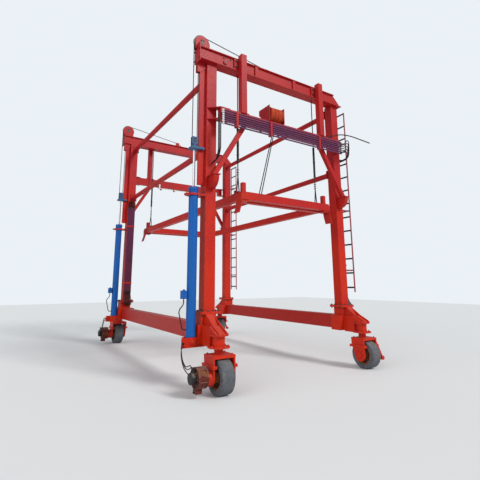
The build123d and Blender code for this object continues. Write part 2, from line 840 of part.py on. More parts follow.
# End sheaves between their cheek plates
with BuildPart() as sheave_cheeks:
    for sy in both:
        for s in both:
            cheek_y = sy * rope_y + s * (sheave_w + cheek_t + cheek_gap) / 2
            cheek_h = sheave_z - beam_top_z
            box_on(sheave_x, cheek_y, beam_top_z, cheek_w, cheek_t, cheek_h)
            along_y(sheave_x, cheek_y, sheave_z, cheek_w, cheek_t)
        along_y(sheave_x, sy * rope_y, sheave_z, sheave_pin_d, sheave_w + 2 * cheek_t + cheek_gap)
save(sheave_cheeks, "sheave_cheeks")

with BuildPart() as end_sheaves:
    for sy in both:
        y = sy * rope_y
        groove_w = rope_d + 2 * groove_gap
        along_y(sheave_x, y, sheave_z, sheave_d, sheave_w)
        along_y(sheave_x, y, sheave_z, sheave_d, groove_w, Mode.SUBTRACT)
        along_y(sheave_x, y, sheave_z, sheave_pitch_d - groove_w, groove_w)
        along_y(sheave_x, y, sheave_z, sheave_pin_d + 2 * axle_gap, sheave_w, Mode.SUBTRACT)
save(end_sheaves, "end_sheaves")

# Rollers that lead the pull ropes into the beams
with BuildPart() as rope_rollers:
    for portal, sy in portals.items():
        x, y = guide_x[portal], sy * rope_y
        for s in both:
            plate_y = y + s * (roller_w + guide_plate_t) / 2
            box_on(x, plate_y, beam_top_z, guide_l, guide_plate_t, 2 * roller_rise)
        along_y(x, y, beam_top_z + roller_rise, roller_d, roller_w)
save(rope_rollers, "rope_rollers")

# Pull ropes: up past the beam's end, over the end sheave, along the beam and down into it
with BuildPart() as pull_ropes:
    for portal, sy in portals.items():
        y = sy * rope_y
        roller_x, roller_z = guide_x[portal], beam_top_z + roller_rise
        roller_r = (roller_d + rope_d) / 2 + groove_gap
        sheave_r = sheave_pitch_d / 2
        between = Vector(roller_x - sheave_x, 0, roller_z - sheave_z)
        slope = math.atan2(between.Z, between.X) - math.asin((sheave_r - roller_r) / between.length)
        dive = -math.radians(rope_dive)
        outward = Vector(-1, 0, 0)
        above = Vector(-math.sin(slope), 0, math.cos(slope))
        beyond = Vector(-math.sin(dive), 0, math.cos(dive))
        over_sheave = corner_of_tangents(sheave_x, sheave_z, sheave_r, outward, above)
        over_roller = corner_of_tangents(roller_x, roller_z, roller_r, above, beyond)
        drop = over_roller[1] - (beam_top_z - 2 * beam_flange_t)
        rope_end = (over_roller[0] + drop / math.tan(-dive), over_roller[1] - drop)
        rope_plane = Plane(origin=(0, y, 0), x_dir=(1, 0, 0), z_dir=(0, -1, 0))
        with BuildLine(rope_plane) as rope_path:
            places = [(fall_out_x, haunch_z), over_sheave, over_roller, rope_end]
            FilletPolyline(*places, radius=[sheave_r, roller_r])
        with BuildSketch(Plane.XY.offset(haunch_z)) as rope_section:
            with Locations((fall_out_x, y)):
                Circle(rope_d / 2)
        sweep(rope_section.sketch, path=rope_path.line)
save(pull_ropes, "pull_ropes")

# Drop ropes from the beams to the slings
socket_top_z = socket_z + socket_h
with BuildPart() as drop_ropes:
    for sy in both:
        for sx in both:
            disc_on(sx * sling_x, sy * rope_y, socket_top_z, drop_rope_d, beam_z - socket_top_z)
save(drop_ropes, "drop_ropes")

# Slings: long rope socket, a rope, and two short legs down to a pin at the spreader
with BuildPart() as slings:
    for sy in both:
        for sx in both:
            x, y = sx * sling_x, sy * rope_y
            disc_on(x, y, socket_z, socket_d, socket_h)
            disc_on(x, y, sling_fork_z, drop_rope_d, socket_z - sling_fork_z)
            for s in both:
                rod_between((x + s * sling_spread, y, sling_foot_z), (x, y, sling_fork_z + sling_d), sling_d)
            along_x(x, y, sling_foot_z, lug_t * 2, lug_w)
save(slings, "slings")

# Spreader: a twenty-foot frame with cross-beams under the ropes
spreader_low_z = spreader_top_z - spreader_beam_h
half_l, half_w = spreader_l / 2, spreader_w / 2
with BuildPart() as spreader_frame:
    for s in both:
        side_x = s * (half_w - spreader_beam_w / 2)
        box_on(side_x, 0, spreader_low_z, spreader_beam_w, spreader_l, spreader_beam_h)
        for y in (half_l - spreader_beam_w / 2, rope_y):
            box_on(0, s * y, spreader_low_z, spreader_w, spreader_beam_w, spreader_beam_h)
    for sy in both:
        for sx in both:
            for s in both:
                lug_x = sx * sling_x + s * (lug_w + lug_t) / 2
                box_on(lug_x, sy * rope_y, spreader_top_z, lug_t, lug_w, lug_h)
save(spreader_frame, "spreader_frame")

with BuildPart() as corner_blocks:
    for sy in both:
        for sx in both:
            block_foot_z = spreader_low_z - corner_block_h
            box_on(sx * corner_x, sy * corner_y, block_foot_z, corner_block_w, corner_block_l, corner_block_h)
save(corner_blocks, "spreader_corner_blocks")

with BuildPart() as corner_guides:
    for sy in both:
        for sx in both:
            top_z = spreader_top_z - corner_block_h
            flare_x = half_w + corner_guide_flare
            outline = [
                (sx * half_w, top_z),
                (sx * (half_w + corner_guide_t), top_z),
                (sx * (half_w + corner_guide_t), corner_guide_bend_z),
                (sx * (flare_x + corner_guide_t), corner_guide_foot_z),
                (sx * flare_x, corner_guide_foot_z),
                (sx * half_w, corner_guide_bend_z),
            ]
            y_from = sy * (half_l - corner_guide_l / 2) - corner_guide_l / 2
            extrude(prism_y(outline, y_from, corner_guide_l), amount=corner_guide_l)
save(corner_guides, "spreader_corner_guides")

with BuildPart() as pegs:
    for sy in both:
        for sx in both:
            box_on(sx * corner_x, sy * corner_y, spreader_top_z, peg_side, peg_side, peg_h)
    fillet(pegs.edges().group_by(Axis.Z)[-1], peg_round)
save(pegs, "spreader_lock_pegs")

# Hose reel on the front lower beam, and its two hoses down to the spreader
reel_y = -lower_beam_y + reel_back
with BuildPart() as reel_stand:
    inner_y = -lower_beam_y + lower_beam_w / 2
    for s in both:
        plate_x = reel_x + s * (reel_plate_gap + reel_plate_t) / 2
        with BuildSketch(Plane.YZ.offset(plate_x - reel_plate_t / 2)) as plate:
            with BuildLine():
                Polyline(
                    (-lower_beam_face_y - reel_plate_front, lower_beam_top_z),
                    (-lower_beam_face_y - reel_plate_front, reel_plate_top_z),
                    (inner_y + reel_plate_back, reel_plate_top_z),
                    (inner_y + reel_plate_back, reel_plate_top_z - reel_plate_tail),
                    (inner_y, lower_beam_top_z),
                    close=True,
                )
            make_face()
        extrude(plate.sketch, amount=reel_plate_t)
    along_x(reel_x, reel_y, reel_axle_z, reel_axle_d, reel_plate_gap)
save(reel_stand, "reel_stand")

with BuildPart() as reel_drum:
    along_x(reel_x, reel_y, reel_axle_z, reel_drum_d, reel_drum_w)
    for s in both:
        flange_x = reel_x + s * (reel_drum_w + reel_flange_t) / 2
        along_x(flange_x, reel_y, reel_axle_z, reel_flange_d, reel_flange_t)
    along_x(reel_x, reel_y, reel_axle_z, reel_axle_d + 2 * reel_axle_gap, reel_plate_gap, Mode.SUBTRACT)
save(reel_drum, "reel_drum")

with BuildPart() as reel_hoses:
    hose_y = reel_y + (reel_drum_d + reel_hose_d) / 2
    bend_z = reel_axle_z - reel_hose_bend_drop
    foot_z = spreader_top_z + hose_foot_gap
    for s in both:
        top = Vector(reel_x + reel_hose_in + s * reel_hose_gap / 2, hose_y, reel_axle_z)
        bend = Vector(reel_hose_bend_x + s * reel_hose_gap / 2, hose_y, bend_z)
        foot = Vector(reel_hose_foot_x + s * reel_hose_foot_gap / 2, hose_y, foot_z)
        with BuildLine() as hose_path:
            FilletPolyline(top, bend, foot, radius=reel_hose_round)
        with BuildSketch(Plane(origin=top, z_dir=bend - top, x_dir=(0, 1, 0))) as hose_section:
            Circle(reel_hose_d / 2)
        sweep(hose_section.sketch, path=hose_path.line)
save(reel_hoses, "reel_hoses")

# Pipes along the front lower beam, in clamps
pipe_length = pipe_right_x - pipe_left_x
pipe_heights = [pipe_low_z + pipe_pitch * i for i in range(pipe_count)]
with BuildPart() as front_pipes:
    for z in pipe_heights:
        along_x((pipe_left_x + pipe_right_x) / 2, -pipe_y, z, pipe_d, pipe_length)
save(front_pipes, "front_pipes")

riser_counts = {"left": left_riser_count, "right": right_riser_count}
riser_spread = {
    side: [riser_pitch * (i - (count - 1) / 2) for i in range(count)] for side, count in riser_counts.items()
}
riser_places = {
    "left": [(-half_span + d, half_base - column_face - riser_off) for d in riser_spread["left"]],
    "right": [(half_span + column_face + riser_off, -half_base + d) for d in riser_spread["right"]],
}
with BuildPart() as pipe_clamps:
    clamp_y = pipe_off + pipe_clamp_d
    clamp_h = pipe_pitch * pipe_count
    for x in pipe_clamp_x:
        y = -(lower_beam_face_y + clamp_y / 2)
        box_on(x, y, pipe_low_z - pipe_pitch / 2, pipe_clamp_w, clamp_y, clamp_h)
        for z in pipe_heights:
            along_x(x, -pipe_y, z, pipe_d + 2 * pipe_gap, pipe_clamp_w, Mode.SUBTRACT)
    for side, places in riser_places.items():
        count = riser_counts[side]
        x, y = places[count // 2]
        wide, deep = count * riser_pitch, 2 * riser_off
        size = (wide, deep) if side == "left" else (deep, wide)
        for z in riser_bands_z[side]:
            band_z = z - riser_band_w / 2
            box_on(x, y, band_z, *size, riser_band_w)
            for pipe_x, pipe_at_y in places:
                disc_on(pipe_x, pipe_at_y, band_z, riser_d + 2 * pipe_gap, riser_band_w, Mode.SUBTRACT)
save(pipe_clamps, "pipe_clamps")

# Pipes up the rear left column's inner face and the front right column's outer face
with BuildPart() as column_pipes:
    for side, places in riser_places.items():
        low, high = riser_ends_z[side]
        for x, y in places:
            disc_on(x, y, low, riser_d, high - low)
save(column_pipes, "column_pipes")

# Hoses from the front pipes' left ends to the column, and loops from their right ends
with BuildPart() as beam_hoses:
    for k in range(left_hose_count):
        x = pipe_left_x - left_hose_out - k * left_hose_pitch
        low_z = left_hose_low_z - k * left_hose_pitch
        start_z = pipe_heights[2 * k]
        hose_along(
            [
                (pipe_left_x - hose_gap, -pipe_y, start_z),
                (x, -pipe_y, start_z),
                (x, -pipe_y, low_z + 8 * hose_d),
                (x, -pipe_y + 5 * hose_d, low_z),
                (x, -half_base - column_face - hose_gap, low_z),
            ],
            hose_d,
        )
    for k, (riser_x, riser_y) in enumerate(riser_places["right"]):
        x = half_span + right_hose_out + k * right_hose_pitch
        start_z = pipe_heights[k + 1]
        crest_z = start_z + (k + 1) * right_hose_rise
        hose_along(
            [
                (pipe_right_x + hose_gap, -pipe_y, start_z),
                (pipe_right_x + 5 * hose_d, -pipe_y, start_z),
                (x - 3 * hose_d, -pipe_y + hose_d, crest_z),
                (x, -pipe_y + 3 * hose_d, start_z),
                (x, -pipe_y + 5 * hose_d, right_hose_low_z),
                (x, riser_y - 3 * hose_d, right_hose_low_z - hose_d),
                (x, riser_y, right_hose_low_z),
                (riser_x + riser_d / 2 + hose_gap, riser_y, right_hose_low_z),
            ],
            hose_d,
        )
save(beam_hoses, "beam_hoses")

# Hoses at the feet and heads of the column pipes
with BuildPart() as column_hoses:
    neck_face_x = kingpin_x + neck_w / 2
    flange_reach = flange_side / 2 + hose_d
    for x, y in riser_places["right"]:
        low = riser_ends_z["right"][0]
        hose_along(
            [
                (x, y, low - hose_gap),
                (x, y, column_foot_z + 9 * hose_d),
                (half_span + flange_reach + foot_hose_sag, y, column_foot_z),
                (half_span + flange_reach, y, foot_hose_end_z),
                (neck_face_x + hose_gap, y, foot_hose_end_z),
            ],
            hose_d,
        )
    for x, y in riser_places["left"]:
        low, high = riser_ends_z["left"]
        hose_along(
            [
                (x, y, low - hose_gap),
                (x, y, column_foot_z + 9 * hose_d),
                (x, half_base - flange_reach - foot_hose_sag, column_foot_z),
                (x, half_base - flange_reach, foot_hose_end_z),
                (x, half_base - pedestal_l / 2 - hose_gap, foot_hose_end_z),
            ],
            hose_d,
        )
        hose_along(
            [
                (x, y, high + hose_gap),
                (x, y, high + head_hose_rise / 3),
                (x, y - head_hose_sag, high + 2 * head_hose_rise / 3),
                (x, y - hose_d, high + head_hose_rise),
                (x, half_base - column_face - hose_gap, high + head_hose_rise),
            ],
            hose_d,
        )
save(column_hoses, "column_hoses")

# Valve blocks on the cylinders, each with its port and a hose down to the saddle
with BuildPart() as valves:
    for sy in both:
        y = sy * rope_y
        skin_x = -(hoist_x + barrel_d / 2)
        block_x = skin_x - valve_gap - valve_w / 2
        box_on(block_x, y, valve_z, valve_w, valve_l, valve_h)
        along_x(skin_x - valve_gap / 2, y, valve_z + valve_h / 2, valve_port_d, valve_gap)
save(valves, "cylinder_valves")

with BuildPart() as feed_hoses:
    for sy in both:
        y = sy * rope_y
        hose_along(
            [
                (block_x, y, valve_z - hose_gap),
                (block_x, y, valve_z - 5 * hose_d),
                (skin_x - feed_hose_reach, y, valve_z - 10 * hose_d),
                (skin_x - feed_hose_reach / 2, y, feed_hose_end_z),
                (skin_x - hose_gap, y, feed_hose_end_z),
            ],
            hose_d,
        )
save(feed_hoses, "feed_hoses")

# Loose cable: along the lower beam's top, then free past the ladder
with BuildPart() as loose_cable:
    cable_z = lower_beam_top_z + cable_d / 2 + cable_gap
    heights = (cable_z, cable_z, lower_beam_top_z + cable_crest, lower_beam_top_z - cable_end_drop)
    path_points = [(half_span + x, -(half_base + y), z) for (x, y), z in zip(cable_points, heights)]
    with BuildLine() as cable_path:
        FilletPolyline(*path_points, radius=cable_rounds)
    with BuildSketch(Plane(origin=path_points[0], z_dir=(1, 0, 0))) as cable_section:
        Circle(cable_d / 2)
    sweep(cable_section.sketch, path=cable_path.line)
save(loose_cable, "loose_cable")

# Hanger rod along the rear lower beam's inner face
with BuildPart() as hanger_rod:
    low, high = hanger_rod_x
    rod_y = lower_beam_y - (lower_beam_w + hanger_w) / 2
    hanger_z = lower_beam_z - hanger_drop
    for x in hanger_x:
        box_on(x, rod_y, hanger_z, hanger_w, hanger_w, hanger_h)
    along_x((low + high) / 2, rod_y, hanger_z + hanger_rod_rise, hanger_rod_d, high - low)
save(hanger_rod, "rear_hanger_rod")

# Ladders on the outer faces of the right columns
with BuildPart() as ladders:
    rung_step = (ladder_top_z - ladder_rung_drop - ladder_rung_z) / (ladder_rung_count - 1)
    for sy in both:
        face = half_span + column_face
        x, y = face + ladder_gap, sy * (half_base - ladder_in)
        for s in both:
            disc_on(x, y + s * ladder_w / 2, ladder_foot_z, ladder_rail_d, ladder_top_z - ladder_foot_z)
        for i in range(ladder_rung_count):
            rung_z = ladder_rung_z + i * rung_step
            along_y(x, y, rung_z, ladder_rung_d, ladder_w)
        for z in ladder_stay_z:
            stay_z = z - ladder_stay_side / 2
            box_on(x, y, stay_z, ladder_stay_side, ladder_w, ladder_stay_side)
            for s in both:
                stay_y = sy * half_base + s * (column_side - ladder_stay_side) / 2
                box_on((face + x) / 2, stay_y, stay_z, ladder_gap, ladder_stay_side, ladder_stay_side)
save(ladders, "ladders")
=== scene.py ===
# Looks for the container gantry crane: camera, light, finishes and the small parts beside the solids.
import math
import random
from itertools import product

import bmesh
import bpy
from mathutils import Matrix, Vector


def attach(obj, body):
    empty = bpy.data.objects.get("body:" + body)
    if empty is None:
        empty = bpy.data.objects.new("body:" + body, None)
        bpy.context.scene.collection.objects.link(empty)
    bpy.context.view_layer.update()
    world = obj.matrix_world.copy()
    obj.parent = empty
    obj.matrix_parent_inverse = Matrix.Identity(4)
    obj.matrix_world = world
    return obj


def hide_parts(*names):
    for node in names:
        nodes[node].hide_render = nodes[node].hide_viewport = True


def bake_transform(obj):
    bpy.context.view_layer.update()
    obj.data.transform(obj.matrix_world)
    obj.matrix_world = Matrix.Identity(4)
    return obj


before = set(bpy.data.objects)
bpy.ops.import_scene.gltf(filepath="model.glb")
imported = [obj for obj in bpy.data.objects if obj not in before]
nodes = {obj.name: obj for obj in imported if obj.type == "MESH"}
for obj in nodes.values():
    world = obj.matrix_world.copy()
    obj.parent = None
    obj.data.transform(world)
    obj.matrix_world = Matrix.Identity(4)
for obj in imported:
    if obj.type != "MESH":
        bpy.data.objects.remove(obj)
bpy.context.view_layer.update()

scene = bpy.context.scene
random.seed(11)
portals = {"front": -1, "rear": 1}
sides = {"left": -1, "right": 1}
both = (-1, 1)
quarters = list(product(both, repeat=2))

# places that the crane's pieces share, in metres
columnX, columnY, columnHalf = 1.815, 2.695, 0.1125
kingpinX, kingpinY, axleY, axleZ = 1.845, 3.215, 3.29, 0.29
ropeY, hoistX, slingX, lowerBeamY, postX = 2.707, -2.142, 1.115, 2.933, 1.140

# camera and studio

cameraLook = {
    "place": (-5.138, -9.010, 1.815), "yaw": 32.02, "pitch": 11.44, "roll": -0.13,
    "lens": 27.53, "sensor": 36, "shift": (0.011, -0.0637), "far": 200,
}


def setCamera(look):
    yaw, pitch, roll = (math.radians(look[k]) for k in ("yaw", "pitch", "roll"))
    ahead = Vector((math.sin(yaw) * math.cos(pitch), math.cos(yaw) * math.cos(pitch), math.sin(pitch)))
    right = Vector((math.cos(yaw), -math.sin(yaw), 0))
    up = right.cross(ahead)
    tiltedRight = right * math.cos(roll) + up * math.sin(roll)
    tiltedUp = up * math.cos(roll) - right * math.sin(roll)
    data = bpy.data.cameras.new("camera")
    data.lens, data.sensor_width = look["lens"], look["sensor"]
    data.shift_x, data.shift_y = look["shift"]
    data.clip_end = look["far"]
    cam = bpy.data.objects.new("camera", data)
    scene.collection.objects.link(cam)
    turn = Matrix((tiltedRight, tiltedUp, -ahead)).transposed().to_4x4()
    cam.matrix_world = Matrix.Translation(look["place"]) @ turn
    scene.camera = cam


studio = {
    "floorSize": 60, "floorColour": (0.74, 0.74, 0.73, 1), "floorRoughness": 0.9,
    "skyColour": (0.80, 0.87, 0.93, 1), "skyStrength": 0.50,
    "backdropColour": (0.83, 0.88, 0.92, 1), "backdropStrength": 1,
    "sunTurn": (52, 0, 22), "sunStrength": 2.15, "sunSoftness": 18,
    "fillTurn": (62, 0, -75), "fillStrength": 1.05, "fillSoftness": 60,
}


def setStudio(look):
    bpy.ops.mesh.primitive_plane_add(size=look["floorSize"], location=(0, 0, 0))
    floor = bpy.context.object
    floor.name = "floor"
    floorFinish = bpy.data.materials.new("paleFloor")
    floorFinish.use_nodes = True
    surface = floorFinish.node_tree.nodes["Principled BSDF"]
    surface.inputs["Base Color"].default_value = look["floorColour"]
    surface.inputs["Roughness"].default_value = look["floorRoughness"]
    floor.data.materials.append(floorFinish)
    for name in ("sun", "fill"):
        data = bpy.data.lights.new(name, "SUN")
        data.energy = look[name + "Strength"]
        data.angle = math.radians(look[name + "Softness"])
        lamp = bpy.data.objects.new(name, data)
        lamp.rotation_euler = [math.radians(a) for a in look[name + "Turn"]]
        scene.collection.objects.link(lamp)
    world = bpy.data.worlds.new("sky")
    world.use_nodes = True
    tree = world.node_tree
    # the sky lights the crane, and the camera sees the backdrop
    pick = tree.nodes.new("ShaderNodeMixShader")
    rays = tree.nodes.new("ShaderNodeLightPath")
    tree.links.new(rays.outputs["Is Camera Ray"], pick.inputs[0])
    tree.links.new(pick.outputs[0], tree.nodes["World Output"].inputs["Surface"])
    glows = {"sky": tree.nodes["Background"], "backdrop": tree.nodes.new("ShaderNodeBackground")}
    for place, (name, glow) in enumerate(glows.items()):
        glow.inputs["Color"].default_value = look[name + "Colour"]
        glow.inputs["Strength"].default_value = look[name + "Strength"]
        tree.links.new(glow.outputs[0], pick.inputs[1 + place])
    scene.world = world
    scene.view_settings.view_transform = "Standard"


setCamera(cameraLook)
setStudio(studio)
print("camera and studio set")

# node helpers


def addNode(tree, kind, **settings):
    node = tree.nodes.new(kind)
    for key, value in settings.items():
        setattr(node, key, value)
    return node


def feed(tree, socket, value):
    if isinstance(value, bpy.types.NodeSocket):
        tree.links.new(value, socket)
    else:
        socket.default_value = value


def maths(tree, operation, first, second=0.0, clamp=False):
    node = addNode(tree, "ShaderNodeMath", operation=operation, use_clamp=clamp)
    feed(tree, node.inputs[0], first)
    feed(tree, node.inputs[1], second)
    return node.outputs[0]


def times(tree, first, second):
    return maths(tree, "MULTIPLY", first, second)


def remap(tree, value, low, high, toLow=0.0, toHigh=1.0):
    node = addNode(tree, "ShaderNodeMapRange", interpolation_type="SMOOTHSTEP")
    feed(tree, node.inputs["Value"], value)
    for key, number in (("From Min", low), ("From Max", high), ("To Min", toLow), ("To Max", toHigh)):
        feed(tree, node.inputs[key], number)
    return node.outputs["Result"]


def mixColour(tree, share, first, second):
    node = addNode(tree, "ShaderNodeMix", data_type="RGBA")
    feed(tree, node.inputs["Factor"], share)
    feed(tree, node.inputs[6], first)
    feed(tree, node.inputs[7], second)
    return node.outputs[2]


def objectPlace(tree):
    return addNode(tree, "ShaderNodeTexCoord").outputs["Object"]


def axesOf(tree, vector):
    node = addNode(tree, "ShaderNodeSeparateXYZ")
    tree.links.new(vector, node.inputs[0])
    return node.outputs


def noise(tree, coords, scale, detail=4.0, rough=0.55, stretch=None):
    if stretch:
        mapping = addNode(tree, "ShaderNodeMapping")
        mapping.inputs["Scale"].default_value = stretch
        tree.links.new(coords, mapping.inputs["Vector"])
        coords = mapping.outputs["Vector"]
    node = addNode(tree, "ShaderNodeTexNoise")
    feed(tree, node.inputs["Vector"], coords)
    feed(tree, node.inputs["Scale"], scale)
    node.inputs["Detail"].default_value = detail
    node.inputs["Roughness"].default_value = rough
    return node.outputs["Fac"]


def newGroup(name, inputs, outputs):
    tree = bpy.data.node_groups.new(name, "ShaderNodeTree")
    kinds = {"colour": "NodeSocketColor", "value": "NodeSocketFloat"}
    for way, sockets in (("INPUT", inputs), ("OUTPUT", outputs)):
        for label, kind in sockets.items():
            tree.interface.new_socket(name=label, in_out=way, socket_type=kinds[kind])
    return tree, tree.nodes.new("NodeGroupInput").outputs, tree.nodes.new("NodeGroupOutput").inputs


def placeGroup(tree, group, look, *labels):
    # the look's values have the labels' names in small letters
    node = addNode(tree, "ShaderNodeGroup", node_tree=group)
    for label in labels:
        node.inputs[label].default_value = look[label.lower()]
    return node.outputs


# shared effects

effects = {
    "edgeTurn": (0.02, 0.22), "edgeBreaks": (0.42, 0.62), "edgeSamples": 4, "edgeWidth": 0.008,
    "breakScale": 14.0,
    "upwardFaces": (0.35, 0.95), "dustScale": 9, "dustPatches": (0.3, 0.65),
    "streakScale": 1.0, "streakStretch": (19, 19, 0.8), "streakLevels": (0.52, 0.74),
    "climbHeights": (1.2, 5.5), "cloudScale": 1.6, "cloudLevels": (0.3, 0.7, -0.25, 0.25),
    "grainScale": 38, "grainLevels": (0.25, 0.75, -1.0, 1.0),
    "enamelRoughness": (0.36, 0.52), "peelScale": 160,
    "rustScale": 6.0, "rustLimit": 0.78, "rustShift": 0.3, "rustSoftness": 0.05, "rustToneScale": 60,
    "rustTones": ((0.10, 0.035, 0.015, 1), (0.30, 0.10, 0.035, 1)),
}

# worn edges: where the rounded normal leaves the flat one, broken up by noise
tree, given, made = newGroup("wornEdges", {"Edge": "value"}, {"Mask": "value"})
bevelled = addNode(tree, "ShaderNodeBevel", samples=effects["edgeSamples"])
bevelled.inputs["Radius"].default_value = effects["edgeWidth"]
flat = addNode(tree, "ShaderNodeNewGeometry")
turned = addNode(tree, "ShaderNodeVectorMath", operation="DOT_PRODUCT")
tree.links.new(bevelled.outputs[0], turned.inputs[0])
tree.links.new(flat.outputs["Normal"], turned.inputs[1])
edge = remap(tree, maths(tree, "SUBTRACT", 1.0, turned.outputs["Value"]), *effects["edgeTurn"])
broken = remap(tree, noise(tree, objectPlace(tree), effects["breakScale"], 6), *effects["edgeBreaks"])
tree.links.new(times(tree, times(tree, edge, broken), given["Edge"]), made["Mask"])
wornEdges = tree

# settled dust on faces that look up, and upright streaks
tree, given, made = newGroup("dustAndStreaks", *[{"Dust": "value", "Streaks": "value"}] * 2)
where = objectPlace(tree)
facing = addNode(tree, "ShaderNodeNewGeometry")
upward = remap(tree, axesOf(tree, facing.outputs["Normal"])["Z"], *effects["upwardFaces"])
patches = remap(tree, noise(tree, where, effects["dustScale"], 6), *effects["dustPatches"])
dusty = times(tree, times(tree, upward, patches), given["Dust"])
tree.links.new(dusty, made["Dust"])
runs = noise(tree, where, effects["streakScale"], 5, 0.6, effects["streakStretch"])
streaky = remap(tree, runs, *effects["streakLevels"])
tree.links.new(times(tree, streaky, given["Streaks"]), made["Streaks"])
dustAndStreaks = tree

# enamel with orange-peel, turning towards its upper colour higher up the crane; the red paint turns darker
# and more magenta towards the top
tree, given, made = newGroup(
    "agedEnamel", {"Fresh": "colour", "Upper": "colour", "Fade": "value", "Mottle": "value"},
    {"Colour": "colour", "Roughness": "value", "Height": "value"})
where = objectPlace(tree)
rise = addNode(tree, "ShaderNodeMapRange")
tree.links.new(axesOf(tree, where)["Z"], rise.inputs["Value"])
rise.inputs["From Min"].default_value, rise.inputs["From Max"].default_value = effects["climbHeights"]
cloud = remap(tree, noise(tree, where, effects["cloudScale"], 5), *effects["cloudLevels"])
climbShare = maths(tree, "ADD", times(tree, rise.outputs["Result"], given["Fade"]), cloud, True)
hue = mixColour(tree, climbShare, given["Fresh"], given["Upper"])
grainy = remap(tree, noise(tree, where, effects["grainScale"], 6), *effects["grainLevels"])
level = maths(tree, "ADD", times(tree, grainy, given["Mottle"]), 1.0)
shade = addNode(tree, "ShaderNodeVectorMath", operation="SCALE")
tree.links.new(hue, shade.inputs[0])
tree.links.new(level, shade.inputs["Scale"])
tree.links.new(shade.outputs[0], made["Colour"])
tree.links.new(remap(tree, grainy, -1.0, 1.0, *effects["enamelRoughness"]), made["Roughness"])
tree.links.new(noise(tree, where, effects["peelScale"], 2), made["Height"])
agedEnamel = tree

# rust that breaks through in spots and blooms
tree, given, made = newGroup("rustSpots", {"Rust": "value"}, {"Mask": "value", "Colour": "colour"})
where = objectPlace(tree)
bloom = noise(tree, where, effects["rustScale"], 9, 0.68)
limit = maths(tree, "SUBTRACT", effects["rustLimit"], times(tree, given["Rust"], effects["rustShift"]))
tree.links.new(remap(tree, bloom, limit, maths(tree, "ADD", limit, effects["rustSoftness"])), made["Mask"])
tone = noise(tree, where, effects["rustToneScale"], 4)
tree.links.new(mixColour(tree, tone, *effects["rustTones"]), made["Colour"])
rustSpots = tree

print("shared effects built")

# finishes


def startMaterial(name):
    material = bpy.data.materials.new(name)
    material.use_nodes = True
    return material, material.node_tree, material.node_tree.nodes["Principled BSDF"]


def finishSurface(tree, surface, colour, roughness, height, strength, distance):
    tree.links.new(colour, surface.inputs["Base Color"])
    tree.links.new(roughness, surface.inputs["Roughness"])
    bump = addNode(tree, "ShaderNodeBump")
    bump.inputs["Strength"].default_value = strength
    bump.inputs["Distance"].default_value = distance
    feed(tree, bump.inputs["Height"], height)
    tree.links.new(bump.outputs["Normal"], surface.inputs["Normal"])


# fresh colour and upper colour, then the shares of the change with height, mottle, dust, streaks, rust, worn
# edges and clear coat
paintKeys = ("fresh", "upper", "fade", "mottle", "dust", "streaks", "rust", "edge", "coat")
paints = {
    # the red's second colour is darker and more magenta, and the red turns to it towards the top
    "redEnamel": ((0.54, 0.021, 0.004, 1), (0.40, 0.009, 0.014, 1), 0.9, 0.1, 0.16, 0.35, 0.18, 0.14, 0.0),
    "darkRedEnamel": ((0.40, 0.014, 0.008, 1), (0.42, 0.018, 0.016, 1), 0.5, 0.12, 0.3, 0.45, 0.3, 0.4, 0.1),
    "blueEnamel": ((0.003, 0.095, 0.37, 1), (0.007, 0.100, 0.35, 1), 0.5, 0.1, 0.15, 0.25, 0.08, 0.2, 0.1),
    "blockBlue": ((0.025, 0.10, 0.22, 1), (0.035, 0.09, 0.19, 1), 0.5, 0.2, 0.3, 0.3, 0.35, 0.5, 0.1),
    "pipePurple": ((0.15, 0.028, 0.065, 1), (0.11, 0.03, 0.10, 1), 0.8, 0.2, 0.3, 0.2, 0.25, 0.2, 0.1),
    "motorRust": ((0.11, 0.018, 0.012, 1), (0.13, 0.028, 0.012, 1), 0.9, 0.4, 0.4, 0.5, 0.8, 0.4, 0.0),
    "rimBrown": ((0.24, 0.075, 0.03, 1), (0.30, 0.12, 0.05, 1), 0.6, 0.3, 0.5, 0.3, 0.6, 0.4, 0.0),
    "drumOrange": ((0.60, 0.055, 0.012, 1), (0.55, 0.07, 0.02, 1), 0.6, 0.15, 0.4, 0.3, 0.3, 0.5, 0.1),
    "blackEnamel": ((0.020, 0.020, 0.022, 1), (0.045, 0.04, 0.04, 1), 0.5, 0.3, 0.5, 0.3, 0.2, 0.3, 0.1),
}
weathering = {
    "dust": (0.36, 0.28, 0.22, 1), "grime": (0.085, 0.035, 0.025, 1), "bareSteel": (0.33, 0.30, 0.28, 1),
    "dustRoughness": 0.4, "rustRoughness": 0.35, "specular": 0.2, "coatRoughness": 0.35,
    "peelShare": 0.25, "bump": (0.35, 0.0012),
}


def enamelAndDirt(tree, look):
    enamel = placeGroup(tree, agedEnamel, look, "Fresh", "Upper", "Fade", "Mottle")
    weather = placeGroup(tree, dustAndStreaks, look, "Dust", "Streaks")
    colour = mixColour(tree, weather["Streaks"], enamel["Colour"], weathering["grime"])
    return enamel, weather, mixColour(tree, weather["Dust"], colour, weathering["dust"])


def paintFinish(name, look):
    material, tree, surface = startMaterial(name)
    enamel, weather, colour = enamelAndDirt(tree, look)
    rust = placeGroup(tree, rustSpots, look, "Rust")
    edges = placeGroup(tree, wornEdges, look, "Edge")
    colour = mixColour(tree, rust["Mask"], colour, rust["Colour"])
    colour = mixColour(tree, edges["Mask"], colour, weathering["bareSteel"])
    dustGrime = times(tree, weather["Dust"], weathering["dustRoughness"])
    grime = maths(tree, "ADD", dustGrime, times(tree, rust["Mask"], weathering["rustRoughness"]))
    surface.inputs["Specular IOR Level"].default_value = weathering["specular"]
    surface.inputs["Coat Weight"].default_value = look["coat"]
    surface.inputs["Coat Roughness"].default_value = weathering["coatRoughness"]
    height = maths(tree, "ADD", times(tree, enamel["Height"], weathering["peelShare"]), rust["Mask"])
    rough = maths(tree, "ADD", enamel["Roughness"], grime, True)
    finishSurface(tree, surface, colour, rough, height, *weathering["bump"])
    return material


